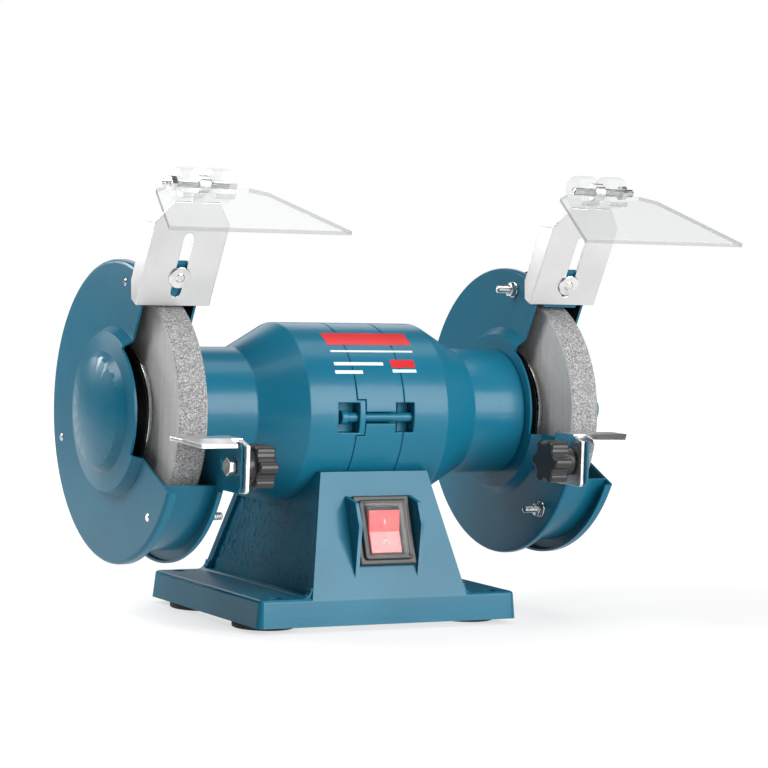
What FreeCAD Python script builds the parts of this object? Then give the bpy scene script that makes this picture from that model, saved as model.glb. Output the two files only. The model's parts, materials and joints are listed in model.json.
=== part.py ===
import FreeCAD, Part
import math
import os
import re
import Sketcher
from FreeCAD import Placement, Rotation, Vector

# Bench grinder for two 125 mm wheels.  X runs along the spindle, -Y is the front, where the work
# is held, and +Z is up.  The origin lies on the bench, midway between the four mounting holes.

SIZES = {
    # stand
    "axis_height": 106, "foot_height": 3, "foot_radius": 16, "foot_spigot": 5.5, "foot_x": 58.5,
    "foot_y": 36.5, "foot_socket": 5, "foot_spigot_short": 0.2,
    "base_length": 150, "base_width": 128, "plate_height": 14, "plate_corner": 4,
    "plate_draft": 6, "plate_round": 1.8, "root_fillet": 5, "casting_wall": 4, "mount_x": 62, "mount_y": 56,
    "mount_hole_radius": 3.5, "mount_boss": 9, "foot_boss": 9, "post_radius": 4.5,
    "post_x": 58, "post_y": 10,
    "pedestal_foot_x": 44.5, "pedestal_foot_y": 62.5, "pedestal_top_x": 31,
    "pedestal_top_y": 41, "pedestal_rise": 61.2, "side_recess": 1.8, "side_margin": 5,
    "panel_lift": 0.8,
    "saddle_gap": 0.15, "saddle_wall": 5,
    "bottom_sheet": 1.2, "bottom_inset": 5.4, "cover_gap": 0.4, "small_screw_grip": 7.5, "small_screw_radius": 1.7, "small_head_radius": 3.4,
    # switch and its guard fins
    "face_lean": 19.36, "switch_rise": 33.6, "bezel_x": 16.5, "bezel_z": 18, "bezel_thick": 3,
    "switch_body_x": 13.8, "switch_body_z": 15.3, "switch_depth": 22, "switch_play": 0.2,
    "rocker_x": 9, "rocker_z": 11, "rocker_pivot": 4, "rocker_tilt": 8, "cap_x": 12.4,
    "cap_z": 13.9, "cap_rise": 5.4, "cap_wall": 1, "rocker_gap": 0.4, "fin_x": 17, "fin_thick": 2,
    "fin_reach": 11, "fin_top": 18.6, "fin_foot": -24,
    # cable entry, capacitor, terminals
    "gland_height": 32, "gland_radius": 6.5, "cable_radius": 3.5, "capacitor_radius": 14,
    "capacitor_length": 45, "capacitor_y": 24, "capacitor_height": 22, "clip_strap": 1.5,
    "terminal_length": 40, "terminal_depth": 16, "terminal_tall": 12, "terminal_pitch": 10,
    # motor
    "barrel_radius": 46, "barrel_half": 40, "motor_wall": 4, "neck_radius": 33,
    "cone_end": 63.5, "neck_end": 94.3, "seam_left": 13.5, "seam_right": 14, "seam_gap": 0.3,
    "bolt_offset": 41.5, "bolt_radius": 2.5, "bolt_play": 0.1, "lug_half": 9, "lug_inner": 36.5,
    "pocket_half": 7.6, "pocket_floor": 37.8, "pocket_end_right": 19.6,
    "pocket_start_left": 12, "pocket_end_left": 24.2, "lug_length": 16, "left_lug_start": 8.6,
    "left_lug_length": 20, "bolt_reach": 28, "bolt_start": 21, "bolt_head_radius": 3.6,
    "bolt_head_thick": 3.4, "bell_round": 3, "bell_bolt_room": 29, "mount_bolt_x": 26, "mount_bolt_radius": 3,
    "stator_radius": 41.9, "stator_half": 20, "stator_bore": 24.4, "winding_outer": 36,
    "winding_inner": 26, "winding_end": 32, "rotor_radius": 23.9, "rotor_ring_end": 27,
    # spindle and bearings
    "shaft_radius": 9, "shaft_step": 78.5, "journal_radius": 7.5, "bearing_start": 79.3,
    "bearing_width": 11, "bearing_outer": 17.5, "race_outer": 14.8, "race_inner": 10.2,
    "ball_radius": 2.2, "ball_count": 8, "spindle_shoulder": 101.5, "spindle_radius": 6.35,
    "spindle_end": 137,
    # wheel and what clamps it
    "wheel_radius": 62.5, "wheel_inner": 105.2, "wheel_width": 16, "wheel_chamfer": 0.8,
    "blotter": 0.5, "blotter_radius": 32, "flange_radius": 33.5, "flange_thick": 3.2,
    "flange_land": 27, "nut_across": 19, "nut_thick": 8,
    # guard
    "guard_radius": 76.5, "sheet_steel": 1.2, "plate_face": 98.5, "cover_face": 128.5,
    "dish_depth": 4, "dish_radius": 41, "band_radius": 70, "window_radius": 38,
    "window_angle": 63.5, "window_offset": 3, "window_low_y": 25, "window_low_z": 14.7,
    "window_low_slope": 0.45, "reach": 95, "guard_screw_ring": 66.3, "guard_screw_radius": 2,
    "guard_screw_tail": 87.5, "pan_radius": 3.9, "pan_height": 2.4, "nut_small_across": 7,
    "nut_small_thick": 3.2, "tab_front": 4.4, "tab_thick": 1.6, "ear_front": 88,
    "ear_back": 60, "ear_top": 9.5, "ear_bottom": 33, "ear_corner": 5, "rim_depth": 5,
    "rim_bend": 2, "step_foot": 43, "step_top": 40, "step_rise": 4.5, "second_foot": 30.5,
    "second_top": 27, "second_rise": 6, "crown_foot": 9.5, "crown_edge": 14, "crown_rise": 12.5,
    "dome_rise": 13, "nose_foot": 9.5, "nose_radius": 8, "nose_rise": 30,
    # tool rest
    "rest_sheet": 2.1, "rest_top": 6.5, "rest_inner": 96.2, "rest_outer": 129, "rest_front": 78,
    "rest_back": 64, "rest_lip_inner": 103, "rest_lip_front": 86.5, "rest_lip_drop": 2.1,
    "leg_front": 86, "leg_back": 60, "rest_bolt_y": 75, "rest_bolt_z": 20.5,
    "rest_bolt_radius": 2.5, "slot_front": 84.5, "slot_back": 63, "slot_half": 2.9,
    "knob_radius": 9.2, "knob_lobe": 3, "knob_collar": 7.5, "knob_start": 95.7,
    "knob_shoulder": 91, "knob_end": 80.5, "knob_lobes": 6, "rest_shift_left": 5,
    # spark guard bracket and eye shield
    "bracket_inner": 93, "bracket_width": 40, "bracket_sheet": 1.5, "bracket_front": 6,
    "bracket_low": 64.4, "bracket_high": 110, "bracket_flange": 5, "tongue_high": 121.5,
    "tongue_width": 24, "slot_low": 72, "slot_high": 102, "bracket_slot_half": 2.75,
    "bracket_screw": 80.3, "bracket_screw_radius": 2.4, "hinge_reach": 131, "hinge_front": 5.25,
    "knuckle_radius": 4.5, "knuckle_half": 3, "hinge_screw_radius": 2, "lug_radius": 8,
    "lug_outer_half": 14, "lug_gap": 0.3, "shield_slope_left": 17.6, "shield_slope_right": 21,
    "bracket_lift_right": 4, "shield_sheet": 2.2, "shield_start": 7, "washer_radius": 5.8,
    "washer_thick": 0.8, "screw_head_radius": 4.7, "screw_head_thick": 2,
    "shield_crease": 13, "shield_front": 69, "shield_root_half": 22, "shield_crease_half": 30,
    "shield_front_half": 47.5,
}

# Where the three long screws of a guard stand, in degrees up from the front.
GUARD_SCREW_ANGLES = (81, 196, -47)

ALONG_X = Rotation(Vector(0, 1, 0), 90)
ALONG_Y = Rotation(Vector(1, 0, 0), -90)
CLOSE_ENOUGH = 1e-6

doc = FreeCAD.newDocument("bench_grinder")
sheet = doc.addObject("Spreadsheet::Sheet", "dims")
for row, (word, number) in enumerate(SIZES.items(), 1):
    sheet.set("A%d" % row, word)
    sheet.set("B%d" % row, str(number))
    sheet.setAlias("B%d" % row, word)
doc.recompute()

NODES = {}


# ---------------------------------------------------------------- formulas and placing

def cells(formula):
    """Point each size's name in a formula at its cell."""
    return re.sub(r"[a-z_]+", lambda word: "dims." + word.group() if word.group() in SIZES
                  else word.group(), formula)


def number_of(formula):
    """The value of a formula, worked out in a spare cell of the sheet."""
    sheet.set("D1", "=" + re.sub(r"dims\.", "", cells(formula)))
    sheet.recompute()
    return float(sheet.get("D1"))


def bind(part, **formulas):
    for name, formula in formulas.items():
        part.setExpression(name, cells(formula))
    return part


def place(part, x="0", y="0", z="axis_height", turn=None):
    if turn is not None:
        part.Placement = Placement(Vector(), turn)
    for axis, formula in (("x", x), ("y", y), ("z", z)):
        part.setExpression("Placement.Base." + axis, cells(formula))
    return part


# ---------------------------------------------------------------- solids

def block(name, x, y, z, length, width, height):
    """A box whose lowest corner is at x, y, z."""
    part = bind(doc.addObject("Part::Box", name), Length=length, Width=width, Height=height)
    return place(part, x, y, z)


def rod(name, radius, x, length, y="0", z="axis_height", turn=ALONG_X):
    part = bind(doc.addObject("Part::Cylinder", name), Radius=radius, Height=length)
    return place(part, x, y, z, turn)


def post(name, radius, x, y, z, height):
    return rod(name, radius, x, height, y, z, Rotation())


def hexagon(name, across, x, length, y="0", z="axis_height", turn=ALONG_X):
    part = doc.addObject("Part::Prism", name)
    part.Polygon = 6
    bind(part, Circumradius="(%s) / sqrt(3)" % across, Height=length)
    return place(part, x, y, z, turn)


def frustum(name, foot_x, foot_y, top_x, top_y, z, height):
    """A tapered block, centred in X and Y, from half sizes at its foot and its top."""
    part = doc.addObject("Part::Wedge", name)
    bind(part, Xmin="-(%s)" % foot_x, Xmax=foot_x, Zmin="-(%s)" % foot_y, Zmax=foot_y,
         X2min="-(%s)" % top_x, X2max=top_x, Z2min="-(%s)" % top_y, Z2max=top_y,
         Ymin="0", Ymax=height)
    return place(part, "0", "0", z, Rotation(Vector(1, 0, 0), 90))


def fuse(name, *parts):
    joined = doc.addObject("Part::MultiFuse", name)
    joined.Shapes = list(parts)
    return joined


def cut(name, base, *tools):
    result = doc.addObject("Part::Cut", name)
    result.Base = base
    result.Tool = tools[0] if len(tools) == 1 else fuse(name + "_tools", *tools)
    return result


def common(name, first, second):
    result = doc.addObject("Part::Common", name)
    result.Base = first
    result.Tool = second
    return result


def group(name, *parts):
    """Separate solids that are one kind of fastener."""
    bundle = doc.addObject("Part::Compound", name)
    bundle.Links = list(parts)
    return bundle


def mirrored(name, source, normal=Vector(1, 0, 0)):
    twin = doc.addObject("Part::Mirroring", name)
    twin.Source = source
    twin.Normal = normal
    return twin


# ---------------------------------------------------------------- sketched bodies

def sketch_in(body, role, offset="0"):
    plane = [feature for feature in body.Origin.OriginFeatures if feature.Role == role][0]
    sketch = body.newObject("Sketcher::SketchObject", body.Name + "_sketch")
    sketch.AttachmentSupport = (plane, "")
    sketch.MapMode = "FlatFace"
    sketch.setExpression("AttachmentOffset.Base.z", cells(offset))
    return sketch


def arc_middle(start, end, radius, side):
    """The middle of an arc between two points, bulging to the side given."""
    chord = end - start
    middle = (start + end) * 0.5
    rise = radius - math.sqrt(max(radius ** 2 - (chord.Length / 2) ** 2, 0))
    normal = Vector(-chord.y, chord.x, 0).normalize()
    return middle + normal * rise * side


def draw_outline(sketch, corners):
    """Close an outline through corners (x, y) or (x, y, arc radius, side).

    An arc ends at its corner; side is 1 where it bulges to the left of the way round.  Such an
    arc runs clockwise, and the sketch counts its ends the other way about.
    """
    points = [Vector(number_of(c[0]), number_of(c[1]), 0) for c in corners]
    starts = []
    for i, corner in enumerate(corners):
        before, here = points[i - 1], points[i]
        if len(corner) == 2:
            sketch.addGeometry(Part.LineSegment(before, here), False)
            starts.append((1, 2))
            continue
        middle = arc_middle(before, here, number_of(corner[2]), corner[3])
        sketch.addGeometry(Part.Arc(before, middle, here), False)
        starts.append((2, 1) if corner[3] == 1 else (1, 2))
    count = len(corners)
    for i in range(count):
        following = (i + 1) % count
        sketch.addConstraint(Sketcher.Constraint("Coincident", i, starts[i][1],
                                                 following, starts[following][0]))
    for i, corner in enumerate(corners):
        for kind, formula, at in (("DistanceX", corner[0], points[i].x),
                                  ("DistanceY", corner[1], points[i].y)):
            if abs(at) < CLOSE_ENOUGH:
                axis = -2 if kind == "DistanceX" else -1
                sketch.addConstraint(Sketcher.Constraint("PointOnObject", i, starts[i][1], axis))
                continue
            index = sketch.addConstraint(Sketcher.Constraint(kind, -1, 1, i, starts[i][1], at))
            sketch.setExpression("Constraints[%d]" % index, cells(formula))
        if len(corner) > 2:
            index = sketch.addConstraint(Sketcher.Constraint("Radius", i, number_of(corner[2])))
            sketch.setExpression("Constraints[%d]" % index, cells(corner[2]))


def turned(name, profile):
    """A body turned about the spindle's line, from corners (x, radius)."""
    body = doc.addObject("PartDesign::Body", name)
    sketch = sketch_in(body, "XY_Plane")
    draw_outline(sketch, profile)
    turn = body.newObject("PartDesign::Revolution", name + "_turn")
    turn.Profile = sketch
    turn.ReferenceAxis = (sketch, ["H_Axis"])
    turn.Angle = 360
    return place(body)


def extruded(name, role, start, length, corners, x="0", y="0", z="axis_height", turn=None):
    """A body of one thickness: across X from a YZ outline, or up Z from an XY outline."""
    body = doc.addObject("PartDesign::Body", name)
    sketch = sketch_in(body, role, start)
    draw_outline(sketch, corners)
    pad = body.newObject("PartDesign::Pad", name + "_pad")
    pad.Profile = sketch
    pad.setExpression("Length", cells(length))
    return place(body, x, y, z, turn)


def round_edges(body, name, radius, chosen):
    """Round the body's edges that the function chosen says yes to."""
    doc.recompute()
    solid = body.Tip
    edges = ["Edge%d" % i for i, edge in enumerate(solid.Shape.Edges, 1) if chosen(edge)]
    fillet = body.newObject("PartDesign::Fillet", name)
    fillet.Base = (solid, edges)
    fillet.setExpression("Radius", cells(radius))
    body.Tip = fillet
    return body


def node(label, part):
    part.Label = label
    NODES[label] = part
    return part


def both_sides(label, right, left_shift="0"):
    """Keep the right-hand piece, and its mirror image for the left, moved forward."""
    left = mirrored(label + "_mirror", right)
    left.setExpression("Placement.Base.y", cells("-(%s)" % left_shift))
    node(label + "_right", right)
    node(label + "_left", left)


def lifted(label, side, part):
    """Keep what a spark bracket carries, slid up along its slot on the side given."""
    if side == "left":
        part = mirrored(label + "_mirror", part)
    bundle = group(label + "_slid", part)
    place(bundle, "0", "-(%s) * cos(window_angle)" % LIFT[side],
          "(%s) * sin(window_angle)" % LIFT[side])
    node("%s_%s" % (label, side), bundle)


# ---------------------------------------------------------------- frames that lean

SWITCH_LEAN = Rotation(Vector(1, 0, 0), -SIZES["face_lean"])
WINDOW_LEAN = Rotation(Vector(1, 0, 0), 90 - SIZES["window_angle"])
LIFT = {"left": "0", "right": "bracket_lift_right"}

# The middle of the switch on the pedestal's front face.
SWITCH_Y = "-pedestal_foot_y + switch_rise * sin(face_lean)"
SWITCH_Z = "foot_height + plate_height + switch_rise * cos(face_lean)"

# The eye shield's hinge line, with its bracket at the bottom of its travel.
HINGE_Y = "-hinge_reach * cos(window_angle) - hinge_front * sin(window_angle)"
HINGE_Z = "axis_height + hinge_reach * sin(window_angle) - hinge_front * cos(window_angle)"


def on_face(part, x="0", y="0", z="0"):
    """Place a part in the frame of the pedestal's leaning face: -Y is out, Z is up the face."""
    return place(part, x, "%s + (%s) * cos(face_lean) + (%s) * sin(face_lean)" % (SWITCH_Y, y, z),
                 "%s - (%s) * sin(face_lean) + (%s) * cos(face_lean)" % (SWITCH_Z, y, z),
                 SWITCH_LEAN)


def on_window(part, x="0", y="0", z="0", turn=None):
    """Place a part in the frame of the guard's upper edge: -Y is out, Z is away from the axis."""
    lean = WINDOW_LEAN if turn is None else WINDOW_LEAN.multiply(turn)
    return place(part, x, "(%s) * sin(window_angle) - (%s) * cos(window_angle)" % (y, z),
                 "axis_height + (%s) * cos(window_angle) + (%s) * sin(window_angle)" % (y, z),
                 lean)


# ---------------------------------------------------------------- stand

def corners_of(x, y):
    return [("left_front", "-(%s)" % x, "-(%s)" % y), ("right_front", x, "-(%s)" % y),
            ("left_back", "-(%s)" % x, y), ("right_back", x, y)]


def pedestal_half(which, z):
    """Half size of the pedestal at a height above the plate."""
    return "(pedestal_foot_{0} - (pedestal_foot_{0} - pedestal_top_{0}) * ({1}) / pedestal_rise)" \
        .format(which, z)


def base_plate():
    half_x, half_y, radius = "base_length / 2", "base_width / 2", "plate_corner"
    inner_x, inner_y = half_x + " - " + radius, half_y + " - " + radius
    plate = doc.addObject("PartDesign::Body", "base_plate")
    sketch = sketch_in(plate, "XY_Plane")
    draw_outline(sketch, [
        (half_x, inner_y), (inner_x, half_y, radius, -1),
        ("-(%s)" % inner_x, half_y), ("-(%s)" % half_x, inner_y, radius, -1),
        ("-(%s)" % half_x, "-(%s)" % inner_y), ("-(%s)" % inner_x, "-(%s)" % half_y, radius, -1),
        (inner_x, "-(%s)" % half_y), (half_x, "-(%s)" % inner_y, radius, -1)])
    pad = plate.newObject("PartDesign::Pad", "plate_pad")
    pad.Profile = sketch
    bind(pad, Length="plate_height", TaperAngle="-plate_draft")
    place(plate, z="foot_height")
    top = SIZES["plate_height"]
    return round_edges(plate, "plate_round_over", "plate_round",
                       lambda edge: all(abs(v.Z - top) < CLOSE_ENOUGH for v in edge.Vertexes))


def pedestal_outside():
    """The tapered pedestal, its root flush with the plate's front, and fillets at its sides."""
    plate_top = "foot_height + plate_height"
    pedestal = frustum("pedestal", "pedestal_foot_x", "pedestal_foot_y", "pedestal_top_x",
                       "pedestal_top_y", plate_top, "pedestal_rise")
    root = frustum("pedestal_root", "pedestal_foot_x", "base_width / 2", "pedestal_foot_x",
                   "pedestal_foot_y", "foot_height", "plate_height")
    reach = "pedestal_foot_x + root_fillet"
    blank = block("root_blank", "-(%s)" % reach, "-pedestal_foot_y + plate_round",
                  plate_top + " - plate_round", "2 * (%s)" % reach,
                  "2 * (pedestal_foot_y - plate_round)", "root_fillet + plate_round")
    hollows = []
    for tag, x in (("left", "-(%s)" % reach), ("right", reach)):
        hollows.append(rod("root_hollow_" + tag, "root_fillet", x, "base_width",
                           "-base_width / 2", plate_top + " + root_fillet", ALONG_Y))
    return pedestal, root, cut("root_fillets", blank, *hollows)


def base_hollow():
    room = block("plate_room", "-base_length / 2 + casting_wall + 1",
                 "-base_width / 2 + casting_wall + 1", "foot_height - 1",
                 "base_length - 2 * casting_wall - 2", "base_width - 2 * casting_wall - 2",
                 "plate_height - casting_wall + 1")
    solids = [post("mount_boss_" + tag, "mount_boss", x, y, "foot_height - 2", "plate_height")
              for tag, x, y in corners_of("mount_x", "mount_y")]
    solids += [post("foot_boss_" + tag, "foot_boss", x, y, "foot_height - 2", "plate_height")
               for tag, x, y in corners_of("foot_x", "foot_y")]
    solids += [post("screw_post_" + tag, "post_radius", x, y, "foot_height + bottom_sheet",
                    "plate_height") for tag, x, y in corners_of("post_x", "post_y")]
    plate_room = cut("plate_hollow", room, *solids)
    shaft_room = frustum("pedestal_room", "pedestal_foot_x - casting_wall",
                         "pedestal_foot_y - casting_wall", "pedestal_top_x - casting_wall",
                         "pedestal_top_y - casting_wall",
                         "foot_height + plate_height - casting_wall - 1",
                         "pedestal_rise + casting_wall + 1")
    saddle = rod("saddle_web", "barrel_radius + saddle_gap + saddle_wall", "-base_length / 2",
                 "base_length")
    return plate_room, cut("pedestal_hollow", shaft_room, saddle)


def side_panels():
    """The shallow recess in each side of the pedestal, with a rib at its front and its back."""
    low, high = "panel_lift", "axis_height - barrel_radius - foot_height - plate_height - 2"
    foot = "foot_height + plate_height + panel_lift"
    depths = [pedestal_half("y", at) + " - side_margin" for at in (low, high)]
    widths = [pedestal_half("x", at) for at in (low, high)]
    panel = frustum("side_panel", widths[0] + " - side_recess", depths[0],
                    widths[1] + " - side_recess", depths[1], foot, high + " - " + low)
    slab = frustum("panel_slab", widths[0] + " + plate_height", depths[0],
                   widths[1] + " + plate_height", depths[1], foot, high + " - " + low)
    return cut("side_panels", slab, panel)


def switch_fins():
    profile = [("1", "fin_top"), ("1", "fin_foot"), ("0", "fin_foot"),
               ("-fin_reach", "fin_top - 18"), ("-fin_reach + 1", "fin_top - 6"),
               ("0", "fin_top")]
    return [on_face(extruded("fin_" + tag, "YZ_Plane", start, "fin_thick", profile))
            for tag, start in (("left", "-fin_x - fin_thick"), ("right", "fin_x"))]


def make_base():
    gland_boss = rod("gland_boss", "gland_radius + 4", "0", "12", "pedestal_foot_y - 14",
                     "gland_height", ALONG_Y)
    outer = fuse("base_outer", base_plate(), *pedestal_outside(), gland_boss, *switch_fins())
    tools = list(base_hollow()) + [side_panels()]
    tools.append(rod("saddle_bed", "barrel_radius + saddle_gap", "-base_length / 2",
                     "base_length"))
    tools.append(rod("gland_hole", "gland_radius", "0", "40", "pedestal_foot_y - 30",
                     "gland_height", ALONG_Y))
    window = bind(doc.addObject("Part::Box", "switch_window"),
                  Length="2 * (switch_body_x + switch_play)",
                  Width="casting_wall * 3", Height="2 * (switch_body_z + switch_play)")
    tools.append(on_face(window, "-switch_body_x - switch_play", "-casting_wall",
                         "-switch_body_z - switch_play"))
    tools += [post("mount_hole_" + tag, "mount_hole_radius", x, y, "0", "2 * plate_height")
              for tag, x, y in corners_of("mount_x", "mount_y")]
    tools += [post("foot_socket_" + tag, "foot_spigot", x, y, "0", "foot_height + foot_socket")
              for tag, x, y in corners_of("foot_x", "foot_y")]
    tools += [post("post_hole_" + tag, "small_screw_radius", x, y, "0", "foot_height + 8")
              for tag, x, y in corners_of("post_x", "post_y")]
    tools += [post("saddle_hole_" + tag, "mount_bolt_radius + bolt_play", x, "0",
                   "foot_height + plate_height", "axis_height / 2")
              for tag, x in (("left", "-mount_bolt_x"), ("right", "mount_bolt_x"))]
    node("base_casting", cut("base_shape", outer, *tools))


def make_base_cover():
    sheet_part = block("bottom_sheet_blank", "-base_length / 2 + bottom_inset",
                       "-base_width / 2 + bottom_inset", "foot_height",
                       "base_length - 2 * bottom_inset", "base_width - 2 * bottom_inset",
                       "bottom_sheet")
    holes = [post("cover_clear_" + tag, "mount_boss + cover_gap", x, y, "0", "plate_height")
             for tag, x, y in corners_of("mount_x", "mount_y")]
    holes += [post("cover_foot_" + tag, "foot_boss + cover_gap", x, y, "0", "plate_height")
              for tag, x, y in corners_of("foot_x", "foot_y")]
    holes += [post("cover_hole_" + tag, "small_screw_radius", x, y, "0", "plate_height")
              for tag, x, y in corners_of("post_x", "post_y")]
    node("base_cover", cut("base_cover_shape", sheet_part, *holes))
    screws = []
    for tag, x, y in corners_of("post_x", "post_y"):
        shank = post("cover_shank_" + tag, "small_screw_radius", x, y, "foot_height - 1.5",
                     "small_screw_grip + 1.5")
        head = post("cover_head_" + tag, "small_head_radius", x, y, "foot_height - 1.6", "1.6")
        screws.append(fuse("cover_screw_" + tag, shank, head))
    node("cover_screws", group("cover_screw_set", *screws))


def make_feet():
    feet = []
    for tag, x, y in corners_of("foot_x", "foot_y"):
        pad = post("foot_pad_" + tag, "foot_radius", x, y, "0", "foot_height")
        spigot = post("foot_spigot_" + tag, "foot_spigot - 0.05", x, y, "0",
                      "foot_height + foot_socket - foot_spigot_short")
        feet.append(fuse("foot_" + tag, pad, spigot))
    node("rubber_feet", group("foot_set", *feet))


# ---------------------------------------------------------------- switch and wiring

def face_block(name, half_x, y, depth, half_z):
    part = bind(doc.addObject("Part::Box", name), Length="2 * (%s)" % half_x, Width=depth,
                Height="2 * (%s)" % half_z)
    return on_face(part, "-(%s)" % half_x, y, "-(%s)" % half_z)


def make_switch():
    bezel = face_block("bezel", "bezel_x", "-bezel_thick", "bezel_thick - 0.05", "bezel_z")
    body = face_block("switch_body", "switch_body_x", "-1", "switch_depth", "switch_body_z")
    mouth = face_block("switch_mouth", "rocker_x + rocker_gap", "-bezel_thick - 1", "switch_depth - 8",
                       "rocker_z + 1.2")
    node("switch_housing", cut("switch_shape", fuse("switch_solid", bezel, body), mouth))
    cap = face_block("cap_outer", "cap_x", "-bezel_thick - cap_rise", "cap_rise", "cap_z")
    room = face_block("cap_room", "cap_x - cap_wall", "-bezel_thick - cap_rise + cap_wall",
                      "cap_rise", "cap_z - cap_wall")
    node("switch_cap", cut("cap_shape", cap, room))
    tilt = Rotation(Vector(1, 0, 0), SIZES["rocker_tilt"] - SIZES["face_lean"])
    profile = [("-rocker_pivot - bezel_thick - 1", "rocker_z"),
               ("-rocker_pivot - bezel_thick + 0.8", "0"),
               ("-rocker_pivot - bezel_thick - 1", "-rocker_z"),
               ("-1", "-rocker_z + 0.6"), ("5", "0"), ("-1", "rocker_z - 0.6")]
    rocker = extruded("rocker", "YZ_Plane", "-rocker_x", "2 * rocker_x", profile,
                      y=SWITCH_Y + " + rocker_pivot * cos(face_lean)",
                      z=SWITCH_Z + " - rocker_pivot * sin(face_lean)", turn=tilt)
    node("switch_rocker", rocker)


def make_wiring():
    flange = rod("gland_flange", "gland_radius + 2.5", "0", "3", "pedestal_foot_y - 1.95",
                 "gland_height", ALONG_Y)
    barrel = rod("gland_barrel", "gland_radius - 0.05", "0", "16", "pedestal_foot_y - 15",
                 "gland_height", ALONG_Y)
    bore = rod("gland_bore", "cable_radius", "0", "40", "pedestal_foot_y - 20", "gland_height",
               ALONG_Y)
    node("cable_gland", cut("gland_shape", fuse("gland_solid", flange, barrel), bore))
    start = "-capacitor_length / 2"
    can = rod("capacitor_can", "capacitor_radius", start, "capacitor_length", "capacitor_y",
              "capacitor_height")
    node("capacitor", can)
    strap = rod("strap", "capacitor_radius + clip_strap", "-5", "10", "capacitor_y",
                "capacitor_height")
    clip_foot = block("clip_foot", "-5", "capacitor_y - 6", "foot_height + bottom_sheet", "10",
                      "12", "capacitor_height - capacitor_radius - foot_height")
    hole = rod("clip_hole", "capacitor_radius + 0.05", start, "capacitor_length", "capacitor_y",
               "capacitor_height")
    node("capacitor_clip", cut("clip_shape", fuse("clip_solid", strap, clip_foot), hole))
    bar = block("terminal_bar", "-terminal_length / 2", "-30", "foot_height + bottom_sheet",
                "terminal_length", "terminal_depth", "terminal_tall")
    wells = [post("terminal_well_%d" % i, "2.5", "terminal_pitch * (%d - 1.5)" % i,
                  "-30 + terminal_depth / 2", "foot_height + bottom_sheet + 5",
                  "terminal_tall - 3") for i in range(4)]
    node("terminal_block", cut("terminal_shape", bar, *wells))


# ---------------------------------------------------------------- motor

def lug_block(name, x, length):
    """A lug inside the barrel's front wall, flush with the barrel outside."""
    bar = block(name + "_bar", x, "-barrel_radius - 1", "axis_height - lug_half", length,
                "barrel_radius + 1 - lug_inner", "2 * lug_half")
    return common(name, bar, rod(name + "_skin", "barrel_radius", x, length))


def front_and_back(name, part):
    return [part, mirrored(name + "_back", part, Vector(0, 1, 0))]


def bell_profile(seam):
    return [(seam, "barrel_radius"), ("barrel_half", "barrel_radius"), ("cone_end", "neck_radius"),
            ("neck_end", "neck_radius"), ("neck_end", "race_inner + 1.5"),
            ("bearing_start + bearing_width", "race_inner + 1.5"),
            ("bearing_start + bearing_width", "bearing_outer"),
            ("bearing_start", "bearing_outer"),
            ("bearing_start", "neck_radius - motor_wall"),
            ("cone_end + 1", "neck_radius - motor_wall"),
            ("barrel_half + 1", "barrel_radius - motor_wall"),
            (seam, "barrel_radius - motor_wall")]


def rounded_bell(name, seam):
    bell = turned(name, bell_profile(seam))
    shoulders = (SIZES["barrel_half"], SIZES["cone_end"])
    radii = (SIZES["barrel_radius"], SIZES["neck_radius"])

    def on_shoulder(edge):
        if not hasattr(edge.Curve, "Radius"):
            return False
        at = (edge.Curve.Center.x, edge.Curve.Radius)
        return any(abs(at[0] - x) < 0.01 and abs(at[1] - r) < 0.01
                   for x, r in zip(shoulders, radii))
    return round_edges(bell, name + "_round", "bell_round", on_shoulder)


def through_bolt_room(name, x, length, radius="bolt_radius + bolt_play"):
    return rod(name, radius, x, length, "-bolt_offset")


def pocket(name, x, length):
    return block(name, x, "-barrel_radius - 2", "axis_height - pocket_half", length,
                 "barrel_radius + 2 - pocket_floor", "2 * pocket_half")


def make_end_bells():
    foot_hole = post("bell_foot_hole", "mount_bolt_radius + bolt_play", "mount_bolt_x", "0",
                     "axis_height - barrel_radius - 3", "6")
    right = rounded_bell("bell_right", "seam_right")
    lugs = front_and_back("right_lug", lug_block("right_lug", "seam_right", "lug_length"))
    tools = front_and_back("right_pocket", pocket("right_pocket", "0", "pocket_end_right"))
    tools += front_and_back("right_bore", through_bolt_room("right_bore", "0", "bell_bolt_room"))
    node("end_bell_right", cut("bell_right_shape", fuse("bell_right_solid", right, *lugs),
                               *tools, foot_hole))
    left = rounded_bell("bell_left", "seam_left")
    lugs = front_and_back("left_lug", lug_block("left_lug", "left_lug_start", "left_lug_length"))
    tools = front_and_back("left_pocket", pocket("left_pocket", "pocket_start_left",
                                             "pocket_end_left - pocket_start_left"))
    tools += front_and_back("left_bore", through_bolt_room("left_bore", "0", "bell_bolt_room"))
    shape = cut("bell_left_shape", fuse("bell_left_solid", left, *lugs), *tools,
                post("bell_foot_hole_left", "mount_bolt_radius + bolt_play", "mount_bolt_x", "0",
                     "axis_height - barrel_radius - 3", "6"))
    node("end_bell_left", mirrored("bell_left_mirror", shape))


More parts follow.
